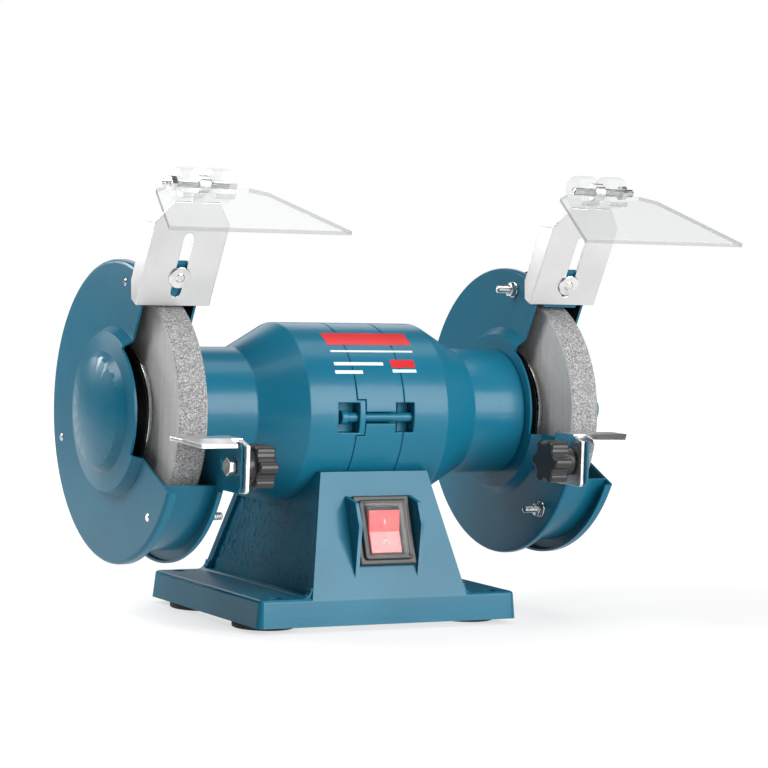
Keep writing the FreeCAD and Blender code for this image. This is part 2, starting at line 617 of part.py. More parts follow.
def make_stator():
    start, length = "-seam_left + seam_gap", "seam_left + seam_right - 2 * seam_gap"
    shell = cut("shell_ring", rod("shell_outer", "barrel_radius", start, length),
                rod("shell_inner", "barrel_radius - motor_wall", "-barrel_half",
                    "2 * barrel_half"))
    lugs = front_and_back("shell_lug", lug_block("shell_lug", "-left_lug_start + seam_gap",
                                                 "seam_right + left_lug_start - 2 * seam_gap"))
    tools = front_and_back("shell_gap", block(
        "shell_gap", "-seam_left - 1", "-barrel_radius - 1", "axis_height - lug_half - seam_gap",
        "seam_left + 1 - left_lug_start + seam_gap", "barrel_radius - 20",
        "2 * lug_half + 2 * seam_gap"))
    tools += front_and_back("shell_pocket", pocket("shell_pocket", "9", "10"))
    tools += front_and_back("shell_channel", block(
        "shell_channel", "-barrel_half", "-barrel_radius - 1", "axis_height - bolt_radius - 0.5",
        "2 * barrel_half", "barrel_radius + 1 - pocket_floor - 0.8", "2 * bolt_radius + 1"))
    node("stator_shell", cut("shell_shape", fuse("shell_solid", shell, *lugs), *tools))
    core = rod("core_blank", "stator_radius", "-stator_half", "2 * stator_half")
    flats = front_and_back("core_flat", block("core_flat", "-barrel_half", "-barrel_radius - 1",
                                              "axis_height - lug_half - 1", "2 * barrel_half",
                                              "barrel_radius + 1 - lug_inner + 0.3",
                                              "2 * lug_half + 2"))
    bore = rod("core_bore", "stator_bore", "-barrel_half", "2 * barrel_half")
    node("stator_core", cut("core_shape", core, bore, *flats))
    ring = turned("winding_right", [
        ("stator_half + 0.2", "winding_inner"), ("winding_end - 3", "winding_inner"),
        ("winding_end", "winding_inner + 4"), ("winding_end", "winding_outer - 4"),
        ("winding_end - 3", "winding_outer"), ("stator_half + 0.2", "winding_outer")])
    node("stator_windings", group("winding_set", ring, mirrored("winding_left", ring)))


def make_motor_bolts():
    shank = through_bolt_room("through_shank", "-bolt_start", "bolt_start + bolt_reach",
                              "bolt_radius")
    head = rod("through_head", "bolt_head_radius", "-bolt_start - 0.5", "bolt_head_thick",
               "-bolt_offset")
    bolt = fuse("through_bolt", shank, head)
    node("through_bolts", group("through_bolt_set", *front_and_back("through_bolt", bolt)))
    bolts = []
    for tag, x in (("left", "-mount_bolt_x"), ("right", "mount_bolt_x")):
        seat = "axis_height - barrel_radius - saddle_gap - saddle_wall"
        stem = post("saddle_stem_" + tag, "mount_bolt_radius", x, "0", seat + " - 4",
                    "saddle_wall + 7")
        head = hexagon("saddle_head_" + tag, "10", x, "4", "0", seat + " - 4.2", Rotation())
        bolts.append(fuse("saddle_bolt_" + tag, stem, head))
    node("saddle_bolts", group("saddle_bolt_set", *bolts))


# ---------------------------------------------------------------- spindle

def make_spindle():
    steps = [("shaft_step", "shaft_radius"), ("shaft_step", "journal_radius"),
             ("spindle_shoulder", "journal_radius"), ("spindle_shoulder", "spindle_radius"),
             ("spindle_end", "spindle_radius"), ("spindle_end", "0")]
    half = turned("shaft_half", [("0", "0"), ("0", "shaft_radius")] + steps)
    node("shaft", fuse("shaft_shape", half, mirrored("shaft_other_half", half)))
    core = turned("rotor_blank", [("-stator_half", "shaft_radius"),
                                  ("-stator_half", "rotor_radius"),
                                  ("stator_half", "rotor_radius"),
                                  ("stator_half", "shaft_radius")])
    node("rotor_core", core)
    ring = turned("rotor_ring", [("stator_half", "14"), ("rotor_ring_end", "15"),
                                 ("rotor_ring_end", "21"), ("stator_half", "22.5")])
    node("rotor_end_rings", group("rotor_ring_set", ring, mirrored("rotor_ring_left", ring)))


def bearing_ring(name, inner, outer):
    start, end = "bearing_start", "bearing_start + bearing_width"
    ring = turned(name, [(start, inner), (end, inner), (end, outer), (start, outer)])
    return group(name + "_set", ring, mirrored(name + "_left", ring))


def make_bearings():
    node("bearing_outer_rings", bearing_ring("outer_ring", "race_outer", "bearing_outer"))
    node("bearing_inner_rings", bearing_ring("inner_ring", "journal_radius", "race_inner"))
    balls = []
    for i in range(SIZES["ball_count"]):
        angle = 360.0 / SIZES["ball_count"] * i
        ball = bind(doc.addObject("Part::Sphere", "ball_%d" % i), Radius="ball_radius")
        place(ball, "bearing_start + bearing_width / 2",
              "(race_outer + race_inner) / 2 * cos(%s)" % angle,
              "axis_height + (race_outer + race_inner) / 2 * sin(%s)" % angle)
        balls += [ball, mirrored("ball_left_%d" % i, ball)]
    node("bearing_balls", group("ball_set", *balls))


def flange_profile(face, away):
    """A dished clamping washer whose land touches the paper washer at x = face."""
    land, dish, back = face, "%s %s 1.1" % (face, away), "%s %s flange_thick" % (face, away)
    return [(back, "spindle_radius"), (back, "14"), ("%s %s 2" % (face, away), "flange_radius"),
            (land, "flange_radius"), (land, "flange_land"), (dish, "flange_land - 1.5"),
            (dish, "spindle_radius")]


def ring_at(name, x, length, inner, outer):
    return cut(name, rod(name + "_disc", outer, x, length),
               rod(name + "_bore", inner, x + " - 1", length + " + 2"))


def make_wheels():
    end = "wheel_inner + wheel_width"
    rim, edge = "wheel_radius", "wheel_radius - wheel_chamfer"
    wheel = turned("wheel", [("wheel_inner", "spindle_radius"), ("wheel_inner", edge),
                             ("wheel_inner + wheel_chamfer", rim),
                             (end + " - wheel_chamfer", rim), (end, edge),
                             (end, "spindle_radius")])
    both_sides("grinding_wheel", wheel)
    both_sides("inner_flange", turned("flange_in", flange_profile("wheel_inner - blotter", "-")))
    both_sides("outer_flange", turned("flange_out", flange_profile(end + " + blotter", "+")))
    papers = [ring_at("paper_in", "wheel_inner - blotter", "blotter", "spindle_radius",
                      "blotter_radius"),
              ring_at("paper_out", end, "blotter", "spindle_radius", "blotter_radius")]
    both_sides("paper_washers", group("paper_set", *papers))
    start = end + " + blotter + flange_thick"
    nut = cut("nut_shape", hexagon("nut_blank", "nut_across", start, "nut_thick"),
              rod("nut_bore", "spindle_radius", start, "nut_thick"))
    both_sides("spindle_nut", nut)


# ---------------------------------------------------------------- guard

def window_prism(name, lower, x, length):
    """What the guard's window takes away: the front, outside the spindle's own disc."""
    inner, outer = "window_radius - 8", "guard_radius + 12"
    upper = [("-(%s) * cos(window_angle) - window_offset * sin(window_angle)" % far,
              "(%s) * sin(window_angle) - window_offset * cos(window_angle)" % far)
             for far in (inner, outer)]
    corners = upper + [("-reach", upper[1][1])] + lower
    prism = extruded(name + "_prism", "YZ_Plane", x, length, corners)
    return cut(name, prism, rod(name + "_disc", "window_radius", x + " - 1", length + " + 2"))


def cover_window(name):
    lower = [("-reach", "-window_low_z - window_low_slope * (reach - window_low_y)"),
             ("-window_low_y", "-window_low_z")]
    return window_prism(name, lower, "plate_face - 10", "80")


def plate_window(name):
    lower = [("-reach", "-ear_top"), ("-window_low_y", "-ear_top")]
    return window_prism(name, lower, "plate_face - 10", "80")


def screw_spot(angle):
    """Y and Z of a guard screw, as formulas."""
    return ("-guard_screw_ring * cos(%s)" % angle,
            "axis_height + guard_screw_ring * sin(%s)" % angle)


def screw_holes(name):
    return [rod("%s_hole_%d" % (name, i), "guard_screw_radius + 0.15", "plate_face - 15", "60",
                *screw_spot(angle)) for i, angle in enumerate(GUARD_SCREW_ANGLES)]


def make_guard_plate():
    face, depth, steel = "plate_face", "dish_depth", "sheet_steel"
    dish, rim = "dish_radius", "guard_radius"
    disc = turned("plate_disc", [
        ("plate_face - dish_depth", "race_inner + 2"), ("plate_face - dish_depth", dish),
        (face, dish + " + 4"), (face, rim + " - 1.5"), (face + " + 1.5", rim, "1.5", 1),
        (face + " + 3", rim), (face + " + 3", rim + " - sheet_steel"),
        (face + " + 1.5", rim + " - sheet_steel"), (face + " + sheet_steel", rim + " - 1.5"),
        (face + " + sheet_steel", dish + " + 4.4"),
        (face + " - dish_depth + sheet_steel", dish + " + 0.4"),
        (face + " - dish_depth + sheet_steel", "race_inner + 2")])
    opened = cut("plate_opened", disc, plate_window("plate_window"),
                 block("lip_relief", face + " + sheet_steel", "-ear_front - 2",
                       "axis_height - ear_bottom - 1", "6", "ear_front - ear_back + 6",
                       "ear_bottom"))
    ear = extruded("ear", "YZ_Plane", face, steel, [
        ("-ear_back", "-ear_top"), ("-ear_back", "-ear_bottom"),
        ("-ear_front + ear_corner", "-ear_bottom"),
        ("-ear_front", "-ear_bottom + ear_corner", "ear_corner", 1),
        ("-ear_front", "-ear_top - 2"), ("-ear_front + 2", "-ear_top", "2", 1)])
    slot = block("ear_slot", face + " - 1", "-slot_front", "axis_height - rest_bolt_z - slot_half",
                 "4", "slot_front - slot_back", "2 * slot_half")
    plate = cut("guard_plate_shape", fuse("plate_and_ear", opened, ear), slot,
                *screw_holes("plate"))
    both_sides("guard_plate", plate)


def make_guard_band():
    band = cut("band_ring", rod("band_outer", "band_radius", "plate_face + sheet_steel",
                                "cover_face - plate_face - 2 * sheet_steel"),
               rod("band_inner", "band_radius - sheet_steel", "plate_face - 10", "60"))
    opened = cut("band_opened", band, cover_window("band_window"))
    tab = bind(doc.addObject("Part::Box", "band_tab"), Length="20", Width="tab_thick",
               Height="22")
    on_window(tab, "plate_face + 4.5", "-tab_front", "band_radius - 4")
    tab_hole = rod("tab_hole", "bracket_screw_radius + 0.1", "0", "20")
    on_window(tab_hole, "bracket_inner + bracket_width / 2", "10", "bracket_screw",
              Rotation(Vector(1, 0, 0), 90))
    both_sides("guard_band", cut("band_shape", fuse("band_and_tab", opened, tab), tab_hole))


def pressed(outside):
    """The far side of the lid's steps: the same corners, one sheet in, walked back."""
    return [(rise + " - sheet_steel", radius + " - sheet_steel / 2")
            for rise, radius in reversed(outside)]


def cover_profile(nose):
    """The outer lid: a rolled rim, a flat, then two pressed steps up to the middle."""
    face, steel, rim = "cover_face", "sheet_steel", "guard_radius"
    outside = [("0", "step_foot"), ("step_rise", "step_top"), ("second_rise", "second_foot"),
               ("crown_foot", "second_top"), ("crown_rise", "crown_edge")]
    if nose:
        outside += [("dome_rise + 4", "nose_foot"), ("nose_rise - 1.5", "nose_radius"),
                    ("nose_rise", "nose_radius - 1.5")]
    top = "nose_rise" if nose else "dome_rise"
    ends = [(top, "0"), (top + " - sheet_steel", "0")]
    steps = [(face + " + " + rise, radius) for rise, radius in outside + ends + pressed(outside)]
    return [(face + " - rim_depth", rim), (face + " - rim_bend", rim),
            (face, rim + " - rim_bend", "rim_bend", 1)] + steps + [
        (face + " - " + steel, rim + " - rim_bend"), (face + " - rim_bend", rim + " - " + steel),
        (face + " - rim_depth", rim + " - " + steel)]


def make_guard_covers():
    for side, nose in (("right", True), ("left", False)):
        lid = turned("lid_" + side, cover_profile(nose))
        shape = cut("cover_shape_" + side, lid, cover_window("cover_window_" + side),
                    *screw_holes("cover_" + side))
        if side == "left":
            shape = mirrored("cover_left_mirror", shape)
        node("guard_cover_" + side, shape)


def make_guard_screws():
    screws, nuts = [], []
    for i, angle in enumerate(GUARD_SCREW_ANGLES):
        spot = screw_spot(angle)
        shank = rod("guard_shank_%d" % i, "guard_screw_radius", "guard_screw_tail",
                    "cover_face - guard_screw_tail + 0.5", *spot)
        head = rod("guard_head_%d" % i, "pan_radius", "cover_face + 0.05", "pan_height", *spot)
        screws.append(fuse("guard_screw_%d" % i, shank, head))
        start = "plate_face - 0.05 - nut_small_thick"
        blank = hexagon("guard_nut_blank_%d" % i, "nut_small_across", start, "nut_small_thick",
                        *spot)
        nuts.append(cut("guard_nut_%d" % i, blank,
                        rod("guard_nut_bore_%d" % i, "guard_screw_radius", "guard_screw_tail",
                            "30", *spot)))
    both_sides("guard_screws", group("guard_screw_set", *screws))
    both_sides("guard_nuts", group("guard_nut_set", *nuts))


# ---------------------------------------------------------------- tool rest

def make_tool_rests():
    low = "-rest_top - rest_sheet"
    table = extruded("rest_table", "XY_Plane", low, "rest_sheet", [
        ("rest_inner", "-rest_back + 4"), ("rest_inner", "-rest_front"),
        ("rest_lip_inner", "-rest_front"), ("rest_outer", "-rest_front"),
        ("rest_outer", "-rest_back"), ("rest_lip_inner", "-rest_back"),
        ("rest_lip_inner", "-rest_back + 4")])
    lip_blank = extruded("rest_lip_blank", "YZ_Plane", "rest_lip_inner",
                         "rest_outer - rest_lip_inner", [
                             ("-rest_front", "-rest_top"),
                             ("-rest_lip_front", "-rest_top - rest_lip_drop"),
                             ("-rest_lip_front", "-rest_top - rest_lip_drop - rest_sheet"),
                             ("-rest_front", "-rest_top - rest_sheet")])
    lip_trim = extruded("lip_trim", "XY_Plane", "-3 * rest_top", "4 * rest_top", [
        ("rest_outer", "-rest_front"), ("rest_outer - 7.5", "-rest_lip_front - 1"),
        ("rest_outer + 8", "-rest_lip_front - 1"), ("rest_outer + 8", "-rest_front")])
    lip = cut("rest_lip", lip_blank, lip_trim)
    leg = extruded("rest_leg", "YZ_Plane", "rest_inner", "rest_sheet", [
        ("-leg_back", "-rest_top - 0.6"), ("-leg_back", "-ear_bottom"),
        ("-leg_front + 2", "-ear_bottom"), ("-leg_front", "-ear_bottom + 2", "2", 1),
        ("-leg_front", "-rest_top - 3"), ("-rest_front", "-rest_top - 0.6")])
    bore = rod("leg_bore", "rest_bolt_radius + 0.1", "rest_inner - 1", "5", "-rest_bolt_y",
               "axis_height - rest_bolt_z")
    rest = cut("tool_rest_shape", fuse("rest_solid", table, lip, leg), bore)
    both_sides("tool_rest", rest, "rest_shift_left")
    at = ("-rest_bolt_y", "axis_height - rest_bolt_z")
    shank = rod("rest_shank", "rest_bolt_radius", "knob_end + 2", "plate_face - knob_end + 1",
                *at)
    head = hexagon("rest_head", "8", "plate_face + sheet_steel + 0.3", "3.6", *at)
    both_sides("rest_bolt", fuse("rest_bolt_shape", shank, head), "rest_shift_left")


def make_knobs():
    at = ("-rest_bolt_y", "axis_height - rest_bolt_z")
    collar = rod("knob_neck", "knob_collar", "knob_shoulder", "knob_start - knob_shoulder", *at)
    parts = [rod("knob_hub", "knob_radius", "knob_end", "knob_shoulder - knob_end", *at), collar]
    for i in range(SIZES["knob_lobes"]):
        angle = 360.0 / SIZES["knob_lobes"] * i
        parts.append(rod("knob_lobe_%d" % i, "knob_lobe", "knob_end",
                         "knob_shoulder - knob_end",
                         "-rest_bolt_y + (knob_radius - 0.4) * cos(%s)" % angle,
                         "axis_height - rest_bolt_z + (knob_radius - 0.4) * sin(%s)" % angle))
    bore = rod("knob_bore", "rest_bolt_radius + 0.05", "knob_end + 1.9", "30", *at)
    both_sides("rest_knob", cut("knob_shape", fuse("knob_solid", *parts), bore),
               "rest_shift_left")


# ---------------------------------------------------------------- spark guard and eye shield

def make_brackets():
    front, back = "-bracket_front", "-bracket_front + bracket_sheet"
    outer = "bracket_inner + bracket_width"
    middle = "bracket_inner + bracket_width / 2"
    face = bind(doc.addObject("Part::Box", "bracket_face"), Length="bracket_width",
                Width="bracket_sheet", Height="bracket_high - bracket_low")
    on_window(face, "bracket_inner", front, "bracket_low")
    flanges = []
    for tag, start in (("in", "bracket_inner"), ("out", outer + " - bracket_sheet")):
        flange = extruded("bracket_flange_" + tag, "YZ_Plane", start, "bracket_sheet", [
            (front, "bracket_low"), (front, "bracket_high"), ("bracket_flange", "bracket_high - 5"),
            ("bracket_flange", "bracket_low + 8"), ("bracket_flange - 5", "bracket_low")])
        flanges.append(on_window(flange))
    tongue = extruded("bracket_tongue", "XZ_Plane", "bracket_front - bracket_sheet",
                      "bracket_sheet", [
                          ("bracket_inner", "bracket_high - 1"), (outer, "bracket_high - 1"),
                          (outer, "bracket_high"), (middle + " + tongue_width / 2", "tongue_high"),
                          (middle + " - tongue_width / 2", "tongue_high"),
                          ("bracket_inner", "bracket_high")])
    on_window(tongue)
    neck = bind(doc.addObject("Part::Box", "bracket_neck"), Length="2 * knuckle_half",
                Width="bracket_sheet", Height="hinge_reach - tongue_high + 1")
    on_window(neck, middle + " - knuckle_half", front, "tongue_high - 1")
    knuckle = rod("knuckle", "knuckle_radius", middle + " - knuckle_half", "2 * knuckle_half",
                  HINGE_Y, HINGE_Z)
    slot = bind(doc.addObject("Part::Box", "bracket_slot"), Length="2 * bracket_slot_half",
                Width="20", Height="slot_high - slot_low")
    on_window(slot, middle + " - bracket_slot_half", "-15", "slot_low")
    ends = []
    for tag, far in (("low", "slot_low"), ("high", "slot_high")):
        end = rod("slot_end_" + tag, "bracket_slot_half", "0", "20")
        ends.append(on_window(end, middle, "5", far, Rotation(Vector(1, 0, 0), 90)))
    eye = rod("knuckle_bore", "hinge_screw_radius", "bracket_inner", "bracket_width", HINGE_Y,
              HINGE_Z)
    solid = fuse("bracket_solid", face, tongue, neck, knuckle, *flanges)
    shape = cut("bracket_shape", solid, slot, eye, *ends)
    for side in LIFT:
        lifted("spark_bracket", side, shape)


def make_bracket_screws():
    middle = "bracket_inner + bracket_width / 2"
    facing = Rotation(Vector(1, 0, 0), 90)
    pieces = []
    for name, radius, start, length in (
            ("bracket_shank", "bracket_screw_radius", "2", "bracket_front + 3"),
            ("bracket_washer", "washer_radius", "-bracket_front - 0.1", "washer_thick + 0.1"),
            ("bracket_head", "screw_head_radius", "-bracket_front - 0.1 - washer_thick",
             "screw_head_thick + 0.9")):
        pieces.append(on_window(rod(name, radius, "0", length), middle, start, "bracket_screw",
                                facing))
    nut = on_window(hexagon("bracket_nut", "8", "0", "3.2"), middle, "-tab_front + tab_thick + 3.25",
                    "bracket_screw", facing)
    both_sides("bracket_screw", fuse("bracket_screw_shape", nut, *pieces))


def make_hinge_screws():
    middle = "bracket_inner + bracket_width / 2"
    start = middle + " - lug_outer_half - lug_gap"
    shank = rod("hinge_shank", "hinge_screw_radius", start, "2 * lug_outer_half + 8.5", HINGE_Y,
                HINGE_Z)
    head = rod("hinge_head", "4", start + " - 2.6", "2.6", HINGE_Y, HINGE_Z)
    nut = hexagon("hinge_nut", "nut_small_across", middle + " + lug_outer_half + lug_gap",
                  "nut_small_thick", HINGE_Y, HINGE_Z)
    shape = fuse("hinge_screw_shape", shank, head, nut)
    for side in LIFT:
        lifted("hinge_screw", side, shape)


def shield_lug(name, start, length, slope, lean):
    """A round lug on the hinge line, with the web that joins it to the pane."""
    lug = rod(name, "lug_radius", start, length, HINGE_Y, HINGE_Z)
    web = bind(doc.addObject("Part::Box", name + "_web"), Length=length, Width="10", Height="8")
    place(web, start, HINGE_Y + " - 10 * cos(%s) + 4 * sin(%s)" % (slope, slope),
          HINGE_Z + " - 10 * sin(%s) - 4 * cos(%s)" % (slope, slope), lean)
    return [lug, web]


def make_eye_shield(side):
    middle = "bracket_inner + bracket_width / 2"
    slope = "shield_slope_" + side
    lean = Rotation(Vector(1, 0, 0), SIZES[slope])
    widths = [("shield_root_half", "shield_start"), ("shield_crease_half", "shield_crease"),
              ("shield_front_half", "shield_front")]
    outline = [("%s + %s" % (middle, half), "-" + far) for half, far in widths]
    outline += [("%s - %s" % (middle, half), "-" + far) for half, far in reversed(widths)]
    parts = [extruded("pane_" + side, "XY_Plane", "-shield_sheet / 2", "shield_sheet", outline,
                      "0", HINGE_Y, HINGE_Z, lean)]
    length = "lug_outer_half - knuckle_half - lug_gap"
    for tag, start in (("in", middle + " - lug_outer_half"),
                       ("out", middle + " + knuckle_half + lug_gap")):
        parts += shield_lug("lug_%s_%s" % (tag, side), start, length, slope, lean)
    bore = rod("shield_bore_" + side, "hinge_screw_radius + 0.05", "bracket_inner - 5",
               "bracket_width + 10", HINGE_Y, HINGE_Z)
    lifted("eye_shield", side, cut("shield_shape_" + side, fuse("shield_solid_" + side, *parts),
                                   bore))


# ---------------------------------------------------------------- build and write

make_base()
make_base_cover()
make_feet()
make_switch()
make_wiring()
make_end_bells()
make_stator()
make_motor_bolts()
make_spindle()
make_bearings()
make_wheels()
make_guard_plate()
make_guard_band()
make_guard_covers()
make_guard_screws()
make_tool_rests()
make_knobs()
make_brackets()
make_bracket_screws()
make_hinge_screws()
for side in LIFT:
    make_eye_shield(side)
sheet.clear("D1")
doc.recompute()

broken = [part.Name for part in doc.Objects
          if "Invalid" in part.State or "Error" in part.State]
for label, part in NODES.items():
    if part.Shape.isNull() or not part.Shape.isValid() or part.Shape.Volume <= 0:
        broken.append(label)
if broken:
    raise SystemExit("These objects failed: " + ", ".join(broken))

os.makedirs("parts", exist_ok=True)
for label, part in NODES.items():
    part.Shape.exportStep("parts/%s.step" % label)
print("%d sub-parts written" % len(NODES))
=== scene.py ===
import json
import math

import bmesh
import bpy
from mathutils import Matrix, Vector


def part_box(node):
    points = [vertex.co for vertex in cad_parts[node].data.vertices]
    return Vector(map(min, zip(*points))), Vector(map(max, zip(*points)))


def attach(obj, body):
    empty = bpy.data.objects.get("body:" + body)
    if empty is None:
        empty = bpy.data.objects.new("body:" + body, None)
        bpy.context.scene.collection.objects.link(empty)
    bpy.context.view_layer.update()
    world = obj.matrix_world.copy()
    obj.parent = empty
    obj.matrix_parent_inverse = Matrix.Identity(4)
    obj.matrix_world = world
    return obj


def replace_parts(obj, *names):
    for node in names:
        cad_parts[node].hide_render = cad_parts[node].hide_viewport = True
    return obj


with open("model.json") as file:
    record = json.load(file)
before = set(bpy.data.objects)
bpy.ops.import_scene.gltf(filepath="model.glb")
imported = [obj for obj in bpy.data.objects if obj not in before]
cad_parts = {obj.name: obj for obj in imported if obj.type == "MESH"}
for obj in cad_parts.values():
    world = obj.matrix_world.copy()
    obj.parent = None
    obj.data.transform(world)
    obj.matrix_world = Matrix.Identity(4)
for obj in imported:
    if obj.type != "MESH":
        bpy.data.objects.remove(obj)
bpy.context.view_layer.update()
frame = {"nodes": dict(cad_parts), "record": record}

# A bench grinder: paint, steel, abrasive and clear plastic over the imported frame.  X runs along
# the spindle, -Y is the front and +Z is up.  All lengths are in metres.

MM = 0.001
SIDES = {"left": -1, "right": 1}
AXIS_HEIGHT = (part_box("shaft")[0].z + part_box("shaft")[1].z) / 2
BARREL_RADIUS = (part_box("stator_shell")[1].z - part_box("stator_shell")[0].z) / 2

# The guard's upper edge leans back by this angle; the spark bracket slides along it.
WINDOW_ANGLE = math.radians(63.5)
ALONG_EDGE = Vector((0, -math.cos(WINDOW_ANGLE), math.sin(WINDOW_ANGLE)))
OUT_OF_EDGE = Vector((0, -math.sin(WINDOW_ANGLE), -math.cos(WINDOW_ANGLE)))

# The pedestal's front face, where the switch sits, leans back by this angle.
FACE_LEAN = math.radians(19.36)

# A guard's cover lies further out than this along the spindle, and its plate nearer in.
GUARD_MIDDLE = 112 * MM
BAND_RADIUS = 70 * MM

# The clamping screw crosses the guard's upper edge this far along it from the spindle.
CLAMP_ALONG = 80.3 * MM

# An M4 thread and its nut, and an M5 thread and its nut.
SMALL_THREAD, SMALL_NUT, SMALL_BORE = 1.98 * MM, 7 * MM, 2.05 * MM
LARGE_THREAD, LARGE_NUT, LARGE_BORE = 2.35 * MM, 8 * MM, 2.4 * MM


# ---------------------------------------------------------------- shader maths

class Link:
    """A shader socket that can stand in a Python sum."""

    def __init__(self, finish, socket):
        self.finish = finish
        self.socket = socket

    def __add__(self, other):
        return self.finish.maths("ADD", self, other)

    def __sub__(self, other):
        return self.finish.maths("SUBTRACT", self, other)

    def __rsub__(self, other):
        return self.finish.maths("SUBTRACT", other, self)

    def __mul__(self, other):
        return self.finish.maths("MULTIPLY", self, other)

    def __pow__(self, other):
        return self.finish.maths("POWER", self, other)

    def __gt__(self, other):
        return self.finish.maths("GREATER_THAN", self, other)

    def __lt__(self, other):
        return self.finish.maths("LESS_THAN", self, other)

    def __abs__(self):
        return self.finish.maths("ABSOLUTE", self)

    __radd__ = __add__
    __rmul__ = __mul__


class Finish:
    """One material and the nodes behind its shader."""

    def __init__(self, name, **constants):
        self.material = bpy.data.materials.new(name)
        self.material.use_nodes = True
        self.tree = self.material.node_tree
        self.shader = self.tree.nodes["Principled BSDF"]
        for socket, value in constants.items():
            self.shader.inputs[socket.replace("_", " ")].default_value = value

    def add(self, kind, settings=None, inputs=None, output=0):
        """Add a node: its settings first, then the values or links of its sockets."""
        node = self.tree.nodes.new(kind)
        for name, value in (settings or {}).items():
            if name == "stops":
                self.set_stops(node.color_ramp, value)
            else:
                setattr(node, name, value)
        for name, value in (inputs or {}).items():
            if isinstance(value, Link):
                self.tree.links.new(value.socket, node.inputs[name])
            else:
                node.inputs[name].default_value = value
        return Link(self, node.outputs[output])

    @staticmethod
    def set_stops(ramp, stops):
        while len(ramp.elements) < len(stops):
            ramp.elements.new(0.5)
        for element, (position, color) in zip(ramp.elements, stops):
            element.position = position
            element.color = (*color, 1)

    def maths(self, operation, *values):
        return self.add("ShaderNodeMath", {"operation": operation}, dict(enumerate(values)))

    def feed(self, socket, link):
        self.tree.links.new(link.socket, self.shader.inputs[socket])

    def place(self):
        """X, Y and Z in the object's own frame, and the three together."""
        whole = self.add("ShaderNodeTexCoord", output="Object")
        parts = [self.add("ShaderNodeSeparateXYZ", inputs={0: whole}, output=i)
                 for i in range(3)]
        return parts, whole

    def normal(self):
        whole = self.add("ShaderNodeTexCoord", output="Normal")
        return [self.add("ShaderNodeSeparateXYZ", inputs={0: whole}, output=i)
                for i in range(3)]

    def stretched(self, x, y, z):
        whole = self.add("ShaderNodeTexCoord", output="Object")
        return self.add("ShaderNodeMapping", inputs={"Vector": whole, "Scale": (x, y, z)})

    def noise(self, scale, detail=4, roughness=0.5, vector=None):
        vector = vector or self.add("ShaderNodeTexCoord", output="Object")
        return self.add("ShaderNodeTexNoise", inputs={
            "Vector": vector, "Scale": scale, "Detail": detail, "Roughness": roughness})

    def cells(self, scale, output="Color"):
        vector = self.add("ShaderNodeTexCoord", output="Object")
        return self.add("ShaderNodeTexVoronoi", inputs={"Vector": vector, "Scale": scale},
                        output=output)

    def between(self, value, low, high, to_low=0, to_high=1):
        """Ease a value from to_low to to_high as it goes from low to high."""
        return self.add("ShaderNodeMapRange", {"interpolation_type": "SMOOTHSTEP"}, {
            "Value": value, "From Min": low, "From Max": high,
            "To Min": to_low, "To Max": to_high})

    def mixed(self, mask, first, second):
        colors = [c if isinstance(c, Link) else (*c, 1) for c in (first, second)]
        return self.add("ShaderNodeMix", {"data_type": "RGBA"}, {
            0: mask, 6: colors[0], 7: colors[1]}, output=2)

    def bumps(self, *layers):
        """Stack bump layers of (height, depth in metres) and feed them to the normal."""
        last = None
        for height, depth in layers:
            inputs = {"Height": height, "Distance": depth, "Strength": 1.0}
            if last:
                inputs["Normal"] = last
            last = self.add("ShaderNodeBump", inputs=inputs)
        self.feed("Normal", last)


# ---------------------------------------------------------------- finishes

BLUE = (0.006, 0.118, 0.190)
DEEP_BLUE = (0.004, 0.098, 0.162)
PAINT_SHINE = 0.22


def enamel(name, grain, rough_sides=False):
    """Gloss steel-blue enamel; a casting shows a coarser skin under it than sheet does."""
    paint = Finish(name, Coat_Weight=0.10, Coat_Roughness=0.10, Specular_IOR_Level=PAINT_SHINE)
    cloud = paint.noise(14, 3)
    speck = paint.noise(900, 2)
    skin = paint.noise(grain, 4, 0.55)
    paint.feed("Base Color", paint.mixed(paint.between(cloud, 0.3, 0.7), BLUE, DEEP_BLUE))
    paint.feed("Roughness", 0.27 + cloud * 0.06 + speck * 0.05)
    layers = [(skin, 0.00012), (speck, 0.00001)]
    if rough_sides:
        (x, _, z), _ = paint.place()
        side = abs(paint.normal()[0]) > 0.8
        pedestal = paint.between(z, 22 * MM, 25 * MM)
        inner = paint.between(abs(x), 60 * MM, 50 * MM)
        streaks = paint.noise(1, 5, 0.75, paint.stretched(420, 640, 260))
        pits = paint.between(streaks, 0.52, 0.66)
        layers.insert(0, (pits * side * pedestal * inner, 0.0005))
    paint.bumps(*layers)
    return paint.material


